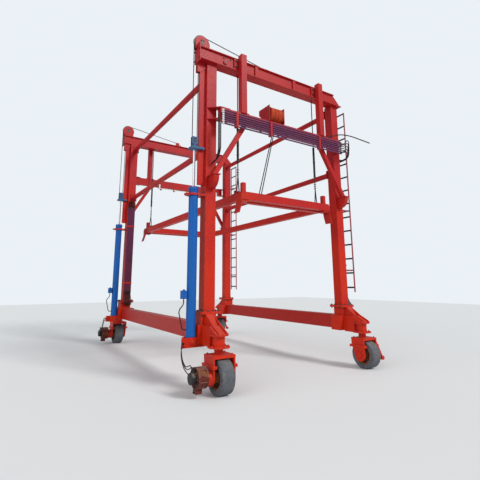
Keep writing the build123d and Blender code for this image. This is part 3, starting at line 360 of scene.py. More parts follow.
motorCap = {"start": -2.337, "end": -2.333, "black": (0.022, 0.020, 0.021, 1)}


def blackenCap(material, look):
    # the motor's outer cap is black: its place along X sets the paint
    tree = material.node_tree
    paint = tree.nodes["Principled BSDF"].inputs["Base Color"]
    cap = remap(tree, axesOf(tree, objectPlace(tree))["X"], look["start"], look["end"], 1.0, 0.0)
    tree.links.new(mixColour(tree, cap, paint.links[0].from_socket, look["black"]), paint)


ladderLook = {
    "fresh": (0.36, 0.03, 0.04, 1), "upper": (0.32, 0.06, 0.10, 1), "fade": 0.9, "mottle": 0.15, "dust": 0.3,
    "streaks": 0.3, "middleY": 2.683, "rungHalf": (0.150, 0.158), "rungX": (2.100, 2.108),
    "greaseScale": 50, "grease": ((0.006, 0.004, 0.006, 1), (0.030, 0.014, 0.018, 1)), "bump": (0.3, 0.001),
}


def ladderFinish(look):
    # red-purple rails with near-black rungs
    material, tree, surface = startMaterial("ladderPaint")
    enamel, weather, colour = enamelAndDirt(tree, look)
    where = objectPlace(tree)
    axes = axesOf(tree, where)
    offMiddle = maths(tree, "SUBTRACT", maths(tree, "ABSOLUTE", axes["Y"]), look["middleY"])
    betweenRails = remap(tree, maths(tree, "ABSOLUTE", offMiddle), *look["rungHalf"], 1.0, 0.0)
    rung = times(tree, betweenRails, remap(tree, axes["X"], *look["rungX"]))
    grease = mixColour(tree, noise(tree, where, look["greaseScale"], 5), *look["grease"])
    colour = mixColour(tree, rung, colour, grease)
    finishSurface(tree, surface, colour, enamel["Roughness"], enamel["Height"], *look["bump"])
    return material


tyreLook = {
    "scuffScale": 26, "scuffLevels": (0.3, 0.7),
    "rubber": ((0.050, 0.056, 0.066, 1), (0.115, 0.122, 0.135, 1)),
    "patchScale": 4, "patchLevels": (0.5, 0.75, 0.0, 0.55), "patch": (0.17, 0.15, 0.13, 1),
    "dust": 0.5, "streaks": 0.0, "dustColour": (0.20, 0.18, 0.16, 1), "roughness": (0.2, 0.8, 0.68, 0.92),
    "poreScale": 220, "poreShare": 0.4, "bump": (0.5, 0.0015),
}


def tyreFinish(look):
    material, tree, surface = startMaterial("greyTyre")
    where = objectPlace(tree)
    scuffs = noise(tree, where, look["scuffScale"], 8, 0.65)
    patches = noise(tree, where, look["patchScale"], 5)
    weather = placeGroup(tree, dustAndStreaks, look, "Dust", "Streaks")
    colour = mixColour(tree, remap(tree, scuffs, *look["scuffLevels"]), *look["rubber"])
    colour = mixColour(tree, remap(tree, patches, *look["patchLevels"]), colour, look["patch"])
    colour = mixColour(tree, weather["Dust"], colour, look["dustColour"])
    rough = remap(tree, scuffs, *look["roughness"])
    pores = times(tree, noise(tree, where, look["poreScale"], 3), look["poreShare"])
    finishSurface(tree, surface, colour, rough, maths(tree, "ADD", scuffs, pores), *look["bump"])
    return material


ropeLook = {
    "layScale": 17, "layWander": 0.4, "metallic": 0.6,
    "steel": ((0.008, 0.008, 0.009, 1), (0.050, 0.046, 0.045, 1)),
    "greaseScale": 30, "greaseLevels": (0.45, 0.7), "grease": (0.03, 0.024, 0.02, 1),
    "roughness": (0.3, 0.7, 0.38, 0.62), "bump": (0.8, 0.003),
}


def ropeFinish(look):
    # bands across the rope, with dark grease between them
    material, tree, surface = startMaterial("greasedRope")
    where = objectPlace(tree)
    lay = addNode(
        tree, "ShaderNodeTexWave", wave_type="BANDS", bands_direction="DIAGONAL", wave_profile="SIN")
    lay.inputs["Scale"].default_value = look["layScale"]
    lay.inputs["Distortion"].default_value = look["layWander"]
    tree.links.new(where, lay.inputs["Vector"])
    grease = noise(tree, where, look["greaseScale"], 6)
    colour = mixColour(tree, lay.outputs["Fac"], *look["steel"])
    colour = mixColour(tree, remap(tree, grease, *look["greaseLevels"]), colour, look["grease"])
    surface.inputs["Metallic"].default_value = look["metallic"]
    rough = remap(tree, grease, *look["roughness"])
    finishSurface(tree, surface, colour, rough, lay.outputs["Fac"], *look["bump"])
    return material


hoseLook = {
    "dirtScale": 18, "dirtLevels": (0.4, 0.75),
    "rubber": ((0.006, 0.006, 0.008, 1), (0.026, 0.023, 0.027, 1)),
    "specular": 0.3, "roughness": (0.3, 0.7, 0.42, 0.66), "braidScale": 240, "bump": (0.25, 0.0006),
}


def rubberFinish(look):
    material, tree, surface = startMaterial("blackHose")
    where = objectPlace(tree)
    dirt = noise(tree, where, look["dirtScale"], 6)
    colour = mixColour(tree, remap(tree, dirt, *look["dirtLevels"]), *look["rubber"])
    surface.inputs["Specular IOR Level"].default_value = look["specular"]
    rough = remap(tree, dirt, *look["roughness"])
    finishSurface(tree, surface, colour, rough, noise(tree, where, look["braidScale"], 2), *look["bump"])
    return material


metals = {
    "polishedRod": {"dark": (0.62, 0.64, 0.67, 1), "light": (0.80, 0.81, 0.83, 1),
                    "rough": 0.16, "metallic": 0.9, "brushed": (1, 1, 8)},
    "sheaveIron": {"dark": (0.035, 0.030, 0.028, 1), "light": (0.12, 0.10, 0.09, 1),
                   "rough": 0.5, "metallic": 0.7},
    "zincSteel": {"dark": (0.42, 0.42, 0.41, 1), "light": (0.66, 0.66, 0.64, 1),
                  "rough": 0.38, "metallic": 0.85},
    "darkBolt": {"dark": (0.03, 0.026, 0.025, 1), "light": (0.11, 0.09, 0.08, 1),
                 "rough": 0.5, "metallic": 0.6},
    "paleFitting": {"dark": (0.55, 0.56, 0.55, 1), "light": (0.80, 0.81, 0.80, 1),
                    "rough": 0.4, "metallic": 0.3},
}
metalGrain = {
    "scale": 60, "stainScale": 5, "stainLevels": (0.55, 0.8, 0.0, 0.5), "stainShade": 0.5,
    "roughShares": (0.75, 1.3), "bump": (0.15, 0.0005),
}


def metalFinish(name, look):
    material, tree, surface = startMaterial(name)
    where = objectPlace(tree)
    grain = noise(tree, where, metalGrain["scale"], 6, 0.6, look.get("brushed"))
    stains = noise(tree, where, metalGrain["stainScale"], 6)
    stained = tuple(metalGrain["stainShade"] * c for c in look["dark"][:3]) + (1,)
    colour = mixColour(tree, grain, look["dark"], look["light"])
    colour = mixColour(tree, remap(tree, stains, *metalGrain["stainLevels"]), colour, stained)
    surface.inputs["Metallic"].default_value = look["metallic"]
    rough = remap(tree, grain, 0.2, 0.8, *(look["rough"] * share for share in metalGrain["roughShares"]))
    finishSurface(tree, surface, colour, rough, grain, *metalGrain["bump"])
    return material


finishes = {name: paintFinish(name, dict(zip(paintKeys, shares))) for name, shares in paints.items()}
blackenCap(finishes["motorRust"], motorCap)
finishes["ladderPaint"] = ladderFinish(ladderLook)
finishes["greyTyre"] = tyreFinish(tyreLook)
finishes["greasedRope"] = ropeFinish(ropeLook)
finishes["blackHose"] = rubberFinish(hoseLook)
finishes.update((name, metalFinish(name, look)) for name, look in metals.items())

# which finish the solids get whose names start so; all the others are red
solidFinishes = {
    "darkRedEnamel": ["ground_beams"], "blueEnamel": ["hoist_cylinders", "cylinder_valves"],
    "blockBlue": ["sheave_block"], "pipePurple": ["front_pipes", "column_pipes"],
    "polishedRod": ["piston_rod"], "greasedRope": ["pull_ropes", "drop_ropes", "slings", "hoist_falls"],
    "sheaveIron": ["end_sheaves", "block_sheave"], "drumOrange": ["reel_drum"],
    "blackHose": ["reel_hoses", "loose_cable", "beam_hoses", "column_hoses", "feed_hoses"],
    "ladderPaint": ["ladders"], "zincSteel": ["rear_hanger_rod"], "motorRust": ["drive_motor"],
    "greyTyre": ["tyre"], "rimBrown": ["rim"],
}
for name, piece in nodes.items():
    own = [finish for finish, starts in solidFinishes.items() if name.startswith(tuple(starts))]
    for held in piece.material_slots:
        held.material = finishes[own[0] if own else "redEnamel"]
print("finishes placed on", len(nodes), "solids")

# mesh helpers


def addPlate(work, centre, size, edge=0.003, turn=None):
    # a flat plate with slightly broken edges
    made = bmesh.ops.create_cube(work, size=1)["verts"]
    bmesh.ops.scale(work, vec=size, verts=made)
    if turn:
        bmesh.ops.rotate(work, verts=made, cent=(0, 0, 0), matrix=turn)
    bmesh.ops.translate(work, vec=centre, verts=made)
    edges = list({e for v in made for e in v.link_edges})
    bmesh.ops.bevel(work, geom=edges, offset=min(edge, min(size) * 0.3), segments=1, affect="EDGES")


def towards(axis):
    return Vector((0, 0, 1)).rotation_difference(Vector(axis)).to_matrix().to_4x4()


def addRound(work, centre, axis, radius, length, around=20, taper=1.0):
    # a disc or pin, its middle at centre
    made = bmesh.ops.create_cone(
        work, cap_ends=True, segments=around, radius1=radius, radius2=radius * taper, depth=length)["verts"]
    bmesh.ops.transform(work, matrix=Matrix.Translation(centre) @ towards(axis), verts=made)


washerThick = 0.004
# of a bolt's head, bevel and stud: middle, width, height, number of sides and taper, as shares of the head
boltParts = ((0.4, 0.577, 0.8, 6, 1.0), (0.9, 0.577, 0.2, 6, 0.86), (1.15, 0.27, 0.5, 8, 1.0))


def addBolt(work, seat, axis, across=0.034, height=0.016, washer=True):
    # hexagon head on a washer, standing on seat
    out, seat = Vector(axis).normalized(), Vector(seat)
    if washer:
        addRound(work, seat + out * (washerThick / 2), out, across * 0.72, washerThick, 14)
    for rise, wide, high, around, taper in boltParts:
        middle = seat + out * (washerThick + height * rise)
        addRound(work, middle, out, across * wide, height * high, around, taper)


def circle(count, radius, start=0.0):
    # pairs of offsets round a circle
    turns = [(k + start) * math.tau / count for k in range(count)]
    return [(radius * math.cos(a), radius * math.sin(a)) for a in turns]


def joinRings(work, rings):
    for first, second in zip(rings, rings[1:]):
        for k in range(len(first)):
            past = (k + 1) % len(first)
            work.faces.new((first[k], first[past], second[past], second[k]))


# Like parts are listed in rows: how they are made, their places in X, Y and Z, their axis, their shape, and
# the circle (count, radius, start) that they stand on. Y and the axis are those of the rear portal, and X is
# that of the right side.
up, outwards, inwards = (0, 0, 1), (0, 1, 0), (0, -1, 0)
toRight, toLeft = (1, 0, 0), (-1, 0, 0)


def row(make, xs, ys, zs, axis, shape, ring=(1, 0)):
    places = (at if isinstance(at, (list, tuple)) else (at,) for at in (xs, ys, zs))
    return [(make, list(product(*places)), axis, shape, ring)]


def onFaces(make, xs, middle, out, zs, shape):
    # the same parts on both faces of something that stands across Y
    return [one for s in both for one in row(make, xs, middle + s * out, zs, (0, s, 0), shape)]


def onSides(make, middle, out, ys, zs, shape, ring=(1, 0)):
    # the same parts to the left and right of something
    return [one for s in both for one in row(make, middle + s * out, ys, zs, (s, 0, 0), shape, ring)]


def spread(middles, half):
    return [middle + s * half for middle in middles for s in both]


def addSlab(work, centre, axis, *size):
    addPlate(work, centre, size)


def addRows(work, rows, portalSigns=both, sideSigns=(1,)):
    for sy, sx, parts in product(portalSigns, sideSigns, rows.values()):
        for make, places, (ax, ay, az), shape, ring in parts:
            for (x, y, z), (a, b) in product(places, circle(*ring)):
                place = (sx * x + a, sy * y + b, z) if az else (sx * x, sy * y + a, z + b)
                make(work, place, (sx * ax, sy * ay, az), *shape)


smoothAngle = math.radians(35)


def makeObject(name, work, finish):
    mesh = bpy.data.meshes.new(name)
    work.normal_update()
    work.to_mesh(mesh)
    work.free()
    mesh.materials.append(finishes[finish])
    piece = bpy.data.objects.new(name, mesh)
    scene.collection.objects.link(piece)
    return piece


def makePiece(name, work, body, finish, smooth=False):
    piece = makeObject(name, work, finish)
    if smooth:
        piece.data.shade_smooth()
        piece.data.set_sharp_from_angle(angle=smoothAngle)
    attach(piece, body)


def acrossJoint(name, work, finish, slot, bodies, start, end, *replaced):
    # a smooth piece baked in place, hiding the solids that it replaces
    piece = makeObject(name, work, finish)
    piece.data.shade_smooth()
    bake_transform(piece)
    if replaced:
        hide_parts(*replaced)


def makeRows(name, rows, body, finish, slot, portalSigns=both, sideSigns=(1,)):
    work = bmesh.new()
    addRows(work, rows, portalSigns, sideSigns)
    makePiece(name, work, body, finish)


bead = {"step": 0.011, "around": 6, "thin": 0.8, "swell": 0.25, "wander": 0.08}


def addBead(work, start, end, radius):
    # a weld bead: a ripple of overlapping rounds along a seam
    start, end = Vector(start), Vector(end)
    run = end - start
    count = max(2, int(run.length / bead["step"]))
    turn = towards(run.normalized()).to_3x3()
    around = circle(bead["around"], 1)
    rings = []
    for i in range(count + 1):
        wander = random.uniform(-bead["wander"], bead["wander"])
        ripple = radius * (bead["thin"] + bead["swell"] * (i % 2) + wander)
        centre = start + run * (i / count)
        rings.append([work.verts.new(centre + turn @ Vector((x, y, 0)) * ripple) for x, y in around])
    joinRings(work, rings)
    work.faces.new(rings[0][::-1])
    work.faces.new(rings[-1])


def squareBeads(work, x, y, z, halfX, halfY, radius):
    corners = [(x + a * halfX, y + b * halfY, z) for a, b in ((-1, -1), (1, -1), (1, 1), (-1, 1))]
    for first, second in zip(corners, corners[1:] + corners[:1]):
        addBead(work, first, second, radius)


# bolts

columnFoot = {"perSide": 4, "reach": 0.162, "top": 1.317, "under": 1.273}


def columnBolts():
    look = columnFoot
    work = bmesh.new()
    reach, last = look["reach"], look["perSide"] - 1
    steps = [round(reach * (2 * i / last - 1), 4) for i in range(look["perSide"])]
    rim = [(a, b) for a, b in product(steps, steps) if max(abs(a), abs(b)) == reach]
    for (sx, sy), (a, b) in product(quarters, rim):
        x, y = sx * columnX + a, sy * columnY + b
        addBolt(work, (x, y, look["top"]), up)
        if not (abs(a) < reach and b * sy > 0):
            addBolt(work, (x, y, look["under"]), (0, 0, -1), washer=False)
    makePiece("column_foot_bolts", work, "gantry", "darkBolt")


tubePlateRows = {
    "bolts": row(
        addBolt, spread((-1.768, 1.768), 0.075), 2.5665, spread((6.2, 4.55), 0.087), inwards, (0.030, 0.014)),
}
beamBoltRows = {
    "postFeet": row(
        addBolt, spread((-postX, postX), 0.084), spread([lowerBeamY], 0.045), 5.372, up, (0.024, 0.012)),
    "clampPlates": row(addBolt, (-2.26, -1.985), spread([ropeY], 0.082), 3.525, up, (0.024, 0.012)),
}

columnBolts()
makeRows("tube_plate_bolts", tubePlateRows, "gantry", "darkBolt", "sheave_steel")
makeRows("beam_bolts", beamBoltRows, "gantry", "darkBolt", "sheave_steel")
print("bolts placed")

# weld beads along the main seams

seams = {
    "footZ": 1.319, "footBead": 0.008, "neckZ": 1.086, "neckHalf": (0.150, 0.1375), "neckBead": 0.007,
    "bracketY": 2.9275, "bracketZ": 3.892, "bracketHalf": (0.055, 0.12), "fineBead": 0.005,
    "noseY": 2.8325, "noseReaches": (0.280, 0.0), "noseHalf": 0.125, "noseZ": (0.762, 1.083),
    "railStitches": 18, "railZ": 3.76, "railStep": 0.145, "railStitch": 0.07, "railHalf": 0.0275,
}


def gantryWelds():
    look = seams
    work = bmesh.new()
    half, fine = columnHalf, look["fineBead"]
    for sx, sy in quarters:
        x, y, boxX = sx * columnX, sy * columnY, sx * kingpinX
        squareBeads(work, x, y, look["footZ"], half, half, look["footBead"])
        squareBeads(work, boxX, y, look["neckZ"], *look["neckHalf"], look["neckBead"])
        squareBeads(work, x, sy * look["bracketY"], look["bracketZ"], *look["bracketHalf"], fine)
        for s, reach in product(both, look["noseReaches"]):
            edgeX, edgeY = boxX + s * look["noseHalf"], sy * (look["noseY"] + reach)
            low, high = look["noseZ"]
            addBead(work, (edgeX, edgeY, low), (edgeX, edgeY, high), fine)
    railX = -(columnX + half)
    for sy, k, s in product(both, range(look["railStitches"]), both):
        y, z = sy * ropeY + s * look["railHalf"], look["railZ"] + k * look["railStep"]
        addBead(work, (railX, y, z), (railX, y, z + look["railStitch"]), fine)
    makePiece("gantry_welds", work, "gantry", "redEnamel", True)


gantryWelds()
print("welds placed")

# plates, stiffeners and small brackets of the beams

webFace, plateZ, clampX, tabX = 2.848, 6.53, (-1.262, 1.005), (-0.702, -0.217)
bossX, bossZ, pinX, keeperZ = -1.519, 6.50, -2.0205, 6.900
beamPlateRows = {
    "stiffeners": row(addSlab, (-0.704, 0.408), webFace + 0.017, plateZ, outwards, (0.085, 0.034, 0.246)),
    "clamps": row(addSlab, clampX, webFace + 0.018, plateZ, outwards, (0.090, 0.036, 0.246)),
    "clampTops": row(addSlab, clampX, webFace + 0.042, plateZ, outwards, (0.064, 0.012, 0.200)),
    "bosses": row(addRound, bossX, webFace + 0.012, bossZ, outwards, (0.048, 0.024, 28)),
    "tabs": row(addSlab, tabX, 2.980, 5.085, outwards, (0.060, 0.012, 0.090)),
    "tabFeet": row(addSlab, tabX, 2.955, 5.048, outwards, (0.060, 0.062, 0.012)),
    "tubeDiscs": row(addRound, (-1.768, 1.768), 2.546, 4.55, outwards, (0.098, 0.016, 40)),
}
beamPinRows = {
    "clampBolts": row(addBolt, clampX, webFace + 0.048, (6.47, 6.59), outwards, (0.036, 0.018)),
    "bossPins": row(addRound, bossX, webFace + 0.026, bossZ, outwards, (0.028, 0.006, 24)),
    "webBolts": row(addBolt, (-1.554, -1.383), webFace, 6.60, outwards, (0.026, 0.012)),
    "endBolts": row(addBolt, -2.142, spread([2.758], 0.10), (6.40, 6.62), toLeft, (0.030, 0.014)),
    "sheavePins": onFaces(addRound, pinX, ropeY, 0.040, 6.845, (0.045, 0.012, 28)),
    "keepers": onFaces(addSlab, pinX, ropeY, 0.046, keeperZ, (0.070, 0.010, 0.026)),
    "keeperBolts": onFaces(
        addBolt, spread([pinX], 0.022), ropeY, 0.051, keeperZ, (0.014, 0.008, False)),
}
makeRows("beam_plates", beamPlateRows, "gantry", "redEnamel", "red_paint")
makeRows("beam_pins", beamPinRows, "gantry", "sheaveIron", "sheave_steel")
print("beam plates placed")

# fittings at the ends of the pipes and hoses

pipeY, pipeHeights = 3.060, [4.98 + 0.048 * i for i in range(7)]
pipeEnds = {"left": (-1.69, -1, "paleFitting"), "right": (1.70, 1, "darkBolt")}
for end, (x, out, finish) in pipeEnds.items():
    pipeRows = {
        "nuts": row(addRound, x - out * 0.012, pipeY, pipeHeights, toRight, (0.0225, 0.026, 6)),
        "collars": row(addRound, x + out * 0.009, pipeY, pipeHeights, toRight, (0.0185, 0.018, 20)),
    }
    makeRows(f"pipe_fittings_{end}", pipeRows, "gantry", finish, "rod_steel", (-1,))


def abreast(middle, count, pitch=0.033):
    return [middle + pitch * (i - count // 2) for i in range(count)]


# places in X and in Y of each row of risers, and the heights of their ends
risers = {
    "right": (1.9515, abreast(-2.695, 5), (1.87, 5.03)),
    "left": (abreast(-1.815, 7), 2.5585, (1.61, 4.21)),
}
riserRows = {}
for (side, (xs, ys, ends)), k in product(risers.items(), (0, 1)):
    nuts = row(addRound, xs, ys, ends[k] - both[k] * 0.010, up, (0.0158, 0.022, 6))
    riserRows[side, k] = nuts + row(addRound, xs, ys, ends[k] + both[k] * 0.008, up, (0.0130, 0.016, 18))
makeRows("riser_fittings", riserRows, "gantry", "darkBolt", "rod_steel", (1,))
print("pipe fittings placed")

# hose turns on the reel's drum

reel = {
    "x": -0.272, "y": -2.898, "z": 5.545, "radius": 0.161, "hose": 0.011, "turns": 12, "skip": (3, 7),
    "first": -0.136, "pitch": 0.0235, "sway": 0.001, "swell": (-0.001, 0.0015), "around": 48, "section": 8,
}


def addRing(work, centre, axis, radius, thick, around, section):
    made = []
    turn = towards(axis).to_3x3()
    for x, y in circle(around, 1):
        ring = []
        for out, up in circle(section, thick):
            place = Vector(((radius + out) * x, (radius + out) * y, up))
            ring.append(work.verts.new(Vector(centre) + turn @ place))
        made.append(ring)
    for i in range(around):
        first, second = made[i], made[(i + 1) % around]
        for k in range(section):
            past = (k + 1) % section
            work.faces.new((first[k], second[k], second[past], first[past]))


def reelTurns():
    look = reel
    work = bmesh.new()
    for i in range(look["turns"]):
        if i in look["skip"]:
            continue
        x = look["x"] + look["first"] + i * look["pitch"] + random.uniform(-look["sway"], look["sway"])
        radius = look["radius"] + random.uniform(*look["swell"])
        centre = (x, look["y"], look["z"])
        addRing(work, centre, toRight, radius, look["hose"], look["around"], look["section"])
    makePiece("reel_hose_turns", work, "hose_reel", "drumOrange", True)


reelTurns()
reelBoltRows = {
    "rims": onSides(addBolt, reel["x"], 0.162, reel["y"], reel["z"], (0.018, 0.010, False), (6, 0.06)),
}
makeRows("reel_bolts", reelBoltRows, "hose_reel", "darkBolt", "drum_paint", (1,))
print("reel dressed")

# wheels: nuts; wheel motors: rings, ribs, bolts and ports; forks: crown bolts and axle caps

# the motor's body runs from its back at the fork to its end, with a cap beyond
motor = {
    "back": -2.150, "end": -2.330, "z": 0.32, "radius": 0.160,
    "ribs": 10, "ribShort": 0.03, "ribThick": 0.026, "ribEdge": 0.006,
}
wheelRows = {"nuts": onSides(addBolt, kingpinX, 0.020, axleY, axleZ, (0.026, 0.018), (8, 0.132))}
motorDarkRows = {
    "cap": row(addRound, motor["end"] - 0.040, axleY, motor["z"], toRight, (0.0935, 0.080, 40)),
    "endBolts": row(addBolt, motor["end"], axleY, motor["z"], toLeft, (0.024, 0.016), (8, 0.128)),
    "backBolts": row(
        addBolt, motor["back"] + 0.004, axleY, motor["z"], toRight, (0.020, 0.010, False), (8, 0.143)),
    "ports": row(addRound, -2.375, spread([axleY], 0.030), motor["z"] + 0.098, up, (0.017, 0.030, 6)),
}
motorPlugs = {"x": motor["end"] - 0.006, "places": ((0.03, 0.10), (-0.03, 0.14)), "shape": (0.016, 0.012, 6)}


def capRows(s):
    # the axle's cap and its bolts on one face of the fork
    caps = row(addRound, kingpinX + s * 0.225, axleY, axleZ, (s, 0, 0), (0.062, 0.020, 32))
    return caps + row(addBolt, kingpinX + s * 0.215, axleY, axleZ, (s, 0, 0), (0.020, 0.012), (6, 0.088))


crownRows = row(addBolt, spread([kingpinX], 0.17), spread([3.25], 0.13), 0.640, up, (0.028, 0.014))
# the motors cover the left wheels' outer caps
forkRows = {"left": {"crown": crownRows, "inner": capRows(-1)}}
forkRows["right"] = {**forkRows["left"], "outer": capRows(1)}


def motorRings(portal, sy):
    look = motor
    work = bmesh.new()
    y, length = sy * axleY, look["back"] - look["end"]
    for x in (look["back"] - 0.016, look["end"] + 0.012):
        addRound(work, (x, y, look["z"]), toRight, look["radius"] + 0.010, 0.024, 48)
    middleX = look["end"] + length / 2
    for k in range(look["ribs"]):  # ribs along the body
        a = (k + 0.5) * math.tau / look["ribs"]
        spot = (middleX, y + math.cos(a) * look["radius"], look["z"] + math.sin(a) * look["radius"])
        size = (length - look["ribShort"], look["ribThick"], look["ribThick"])
        addPlate(work, spot, size, look["ribEdge"], Matrix.Rotation(a, 3, "X"))
    makePiece(f"motor_ribs_{portal}", work, f"swivel_{portal}_left", "motorRust")


def motorDarkParts(portal, sy):
    work = bmesh.new()
    addRows(work, motorDarkRows, (sy,))
    for dy, z in motorPlugs["places"]:  # on the block under the motor
        addRound(work, (motorPlugs["x"], sy * axleY + dy, z), toRight, *motorPlugs["shape"])
    makePiece(f"motor_dark_parts_{portal}", work, f"swivel_{portal}_left", "blackEnamel")


for portal, sy in portals.items():
    motorRings(portal, sy)
    motorDarkParts(portal, sy)
    for side, sx in sides.items():
        corner, here = f"{portal}_{side}", ((sy,), (sx,))
        makeRows(f"wheel_nuts_{corner}", wheelRows, f"wheel_{corner}", "darkBolt", "sheave_steel", *here)
        makeRows(f"fork_bolts_{corner}", forkRows[side], f"swivel_{corner}", "redEnamel", "red_paint", *here)
print("wheels and motors dressed")

# hoses from the cylinder's foot to each wheel motor, across the steering joint

motorHoses = {
    "radius": 0.008, "sections": 10, "nutBack": 0.012, "nut": (0.014, 0.026, 6),
    "still": (-2.34, 2.86, 0.78), "turning": (-2.375, 3.26, 0.42),
    "routes": [
        [(-2.330, 2.862, 0.800), (-2.372, 2.862, 0.830), (-2.398, 2.880, 0.740), (-2.404, 2.940, 0.560),
         (-2.400, 3.090, 0.450), (-2.385, 3.225, 0.520), (-2.375, 3.260, 0.480), (-2.375, 3.260, 0.430)],
        [(-2.330, 2.838, 0.780), (-2.366, 2.838, 0.800), (-2.388, 2.860, 0.700), (-2.396, 2.960, 0.500),
         (-2.396, 3.130, 0.410), (-2.385, 3.290, 0.500), (-2.375, 3.320, 0.480), (-2.375, 3.320, 0.430)],
        [(-2.330, 2.850, 0.740), (-2.372, 2.850, 0.740), (-2.402, 2.880, 0.620), (-2.406, 3.010, 0.430),
         (-2.400, 3.180, 0.370), (-2.400, 3.240, 0.350), (-2.372, 3.215, 0.330)],
    ],
}


def splineTube(work, points, radius, sections):
    # a round tube along the smooth curve of its control points
    curve = bpy.data.curves.new("hoseLine", "CURVE")
    curve.dimensions = "3D"
    curve.bevel_depth = radius
    curve.bevel_resolution = 3
    curve.use_fill_caps = True
    spline = curve.splines.new("NURBS")
    spline.points.add(len(points) - 1)
    for point, place in zip(spline.points, points):
        point.co = (*place, 1)
    spline.order_u = 3
    spline.use_endpoint_u = True
    spline.resolution_u = sections
    line = bpy.data.objects.new("hoseLine", curve)
    tube = bpy.data.meshes.new_from_object(line)
    work.from_mesh(tube)
    bpy.data.objects.remove(line)
    bpy.data.curves.remove(curve)
    bpy.data.meshes.remove(tube)


def motorHosePiece(portal, sy):
    look = motorHoses
    work = bmesh.new()
    for route in look["routes"]:
        splineTube(work, [(x, sy * y, z) for x, y, z in route], look["radius"], look["sections"])
        x, y, z = route[0]
        addRound(work, (x - look["nutBack"], sy * y, z), (1, 0, 0), *look["nut"])
    start, end = ((x, sy * y, z) for x, y, z in (look["still"], look["turning"]))
    bodies = ("gantry", f"swivel_{portal}_left")
    acrossJoint(f"motor_hoses_{portal}", work, "blackHose", "black_hose", bodies, start, end)


for portal, sy in portals.items():
    motorHosePiece(portal, sy)
print("motor hoses hung")

# ropes and hoses that hang down to the lifted parts

liftRopes = {
    "dropTop": 6.390, "dropFoot": 5.120, "dropRadius": 0.012,
    "fallTop": 6.150, "fallFoot": 4.625, "fallRadius": 0.009, "fallX": (-2.1955, -2.0885),
    "strands": 6, "strandShare": 0.37, "strandSides": 6, "lay": 0.17, "ring": 0.012,
}
reelHoses = {
    "y": -2.737, "top": 5.545, "bend": 5.150, "foot": 3.6410,
    "topX": -0.160, "bendX": -0.180, "footX": -0.580,
    "topGap": 0.020, "footGap": 0.030, "radius": 0.011, "sections": 14, "bendReach": 0.2,
    # along the hose's foot: shift in X, rise, radius, length and number of sides
    "footAxis": (-0.22, 0, -1),
    "fittings": ((0.003, 0.015, 0.017, 0.030, 6), (0.010, 0.048, 0.0145, 0.040, 20)),
}


def laidRope(work, x, y, foot, top, radius):
    # strands twisted about an upright line
    look = liftRopes
    strand, steps = radius * look["strandShare"], int((top - foot) / look["ring"])
    section = circle(look["strandSides"], strand)
    for k in range(look["strands"]):
        rings = []
        for i in range(steps + 1):
            z = foot + (top - foot) * i / steps
            a = math.tau * ((z - foot) / look["lay"] + k / look["strands"])
            cx, cy = x + (radius - strand) * math.cos(a), y + (radius - strand) * math.sin(a)
            rings.append([work.verts.new((cx + dx, cy + dy, z)) for dx, dy in section])
        joinRings(work, rings)


def liftRopePieces():
    look = liftRopes
    work = bmesh.new()
    for sy, sx in quarters:
        x, y = sx * slingX, sy * ropeY
        laidRope(work, x, y, look["dropFoot"], look["dropTop"], look["dropRadius"])
    acrossJoint("drop_rope_strands", work, "greasedRope", "wire_rope", ("gantry", "spreader"),
                (0, 0, look["dropTop"]), (0, 0, look["dropFoot"]), "drop_ropes")
    for portal, sy in portals.items():
        work = bmesh.new()
        for x in look["fallX"]:
            laidRope(work, x, sy * ropeY, look["fallFoot"], look["fallTop"], look["fallRadius"])
        acrossJoint(
            f"hoist_fall_strands_{portal}", work, "greasedRope", "wire_rope",
            ("gantry", f"lift_rod_{portal}"), (0, 0, look["fallTop"]), (0, 0, look["fallFoot"]),
            f"hoist_falls_{portal}")


def reelHosePieces():
    look = reelHoses
    work = bmesh.new()
    for s in both:
        top = Vector((look["topX"] + s * look["topGap"], look["y"], look["top"]))
        bend = Vector((look["bendX"] + s * look["topGap"], look["y"], look["bend"]))
        foot = Vector((look["footX"] + s * look["footGap"], look["y"], look["foot"]))
        near, past = (bend + (end - bend).normalized() * look["bendReach"] for end in (top, foot))
        splineTube(work, [top, near, bend, past, (past + foot) / 2, foot], look["radius"], look["sections"])
    acrossJoint("reel_hose_runs", work, "blackHose", "black_hose", ("gantry", "spreader"),
                (0, 0, look["top"]), (0, 0, look["foot"]), "reel_hoses")
    work = bmesh.new()
    for s in both:
        x = look["footX"] + s * look["footGap"]
        for shift, rise, *shape in look["fittings"]:
            addRound(work, (x + shift, look["y"], look["foot"] + rise), look["footAxis"], *shape)
    makePiece("reel_hose_fittings", work, "spreader", "paleFitting")


liftRopePieces()
reelHosePieces()
print("lift ropes and hoses hung")

# black grip sleeves on the ladders' rungs

grips = {"x": 2.1275, "y": 2.683, "heights": [1.720 + 0.34769 * i for i in range(14)]}
ribPlaces = [grips["y"] + (k / 8 - 0.5) * 0.286 for k in range(9)]
gripRows = {
    "sleeves": row(addRound, grips["x"], grips["y"], grips["heights"], outwards, (0.019, 0.306, 18)),
    "ribs": row(addRound, grips["x"], ribPlaces, grips["heights"], outwards, (0.020, 0.010, 18)),
}
makeRows("rung_grips", gripRows, "gantry", "blackHose", "black_hose")
print("rung grips placed")

# gusset plates that stand on the pedestals' slopes, with their welds

gusset = {
    "out": 0.0805, "thick": 0.014,
    "outline": [
        (2.880, 1.271), (2.889, 1.271), (3.125, 1.112), (3.345, 1.003), (3.380, 0.958), (3.355, 0.955),
        (3.110, 1.080), (3.050, 1.080),
    ],
    "weld": [(2.893, 1.268), (3.057, 1.086), (3.114, 1.086), (3.358, 0.960)], "weldBead": 0.0045,
    "seamHalf": 0.150, "seamY": 2.830, "seamZ": (1.087, 1.271), "seamBead": 0.005,
}


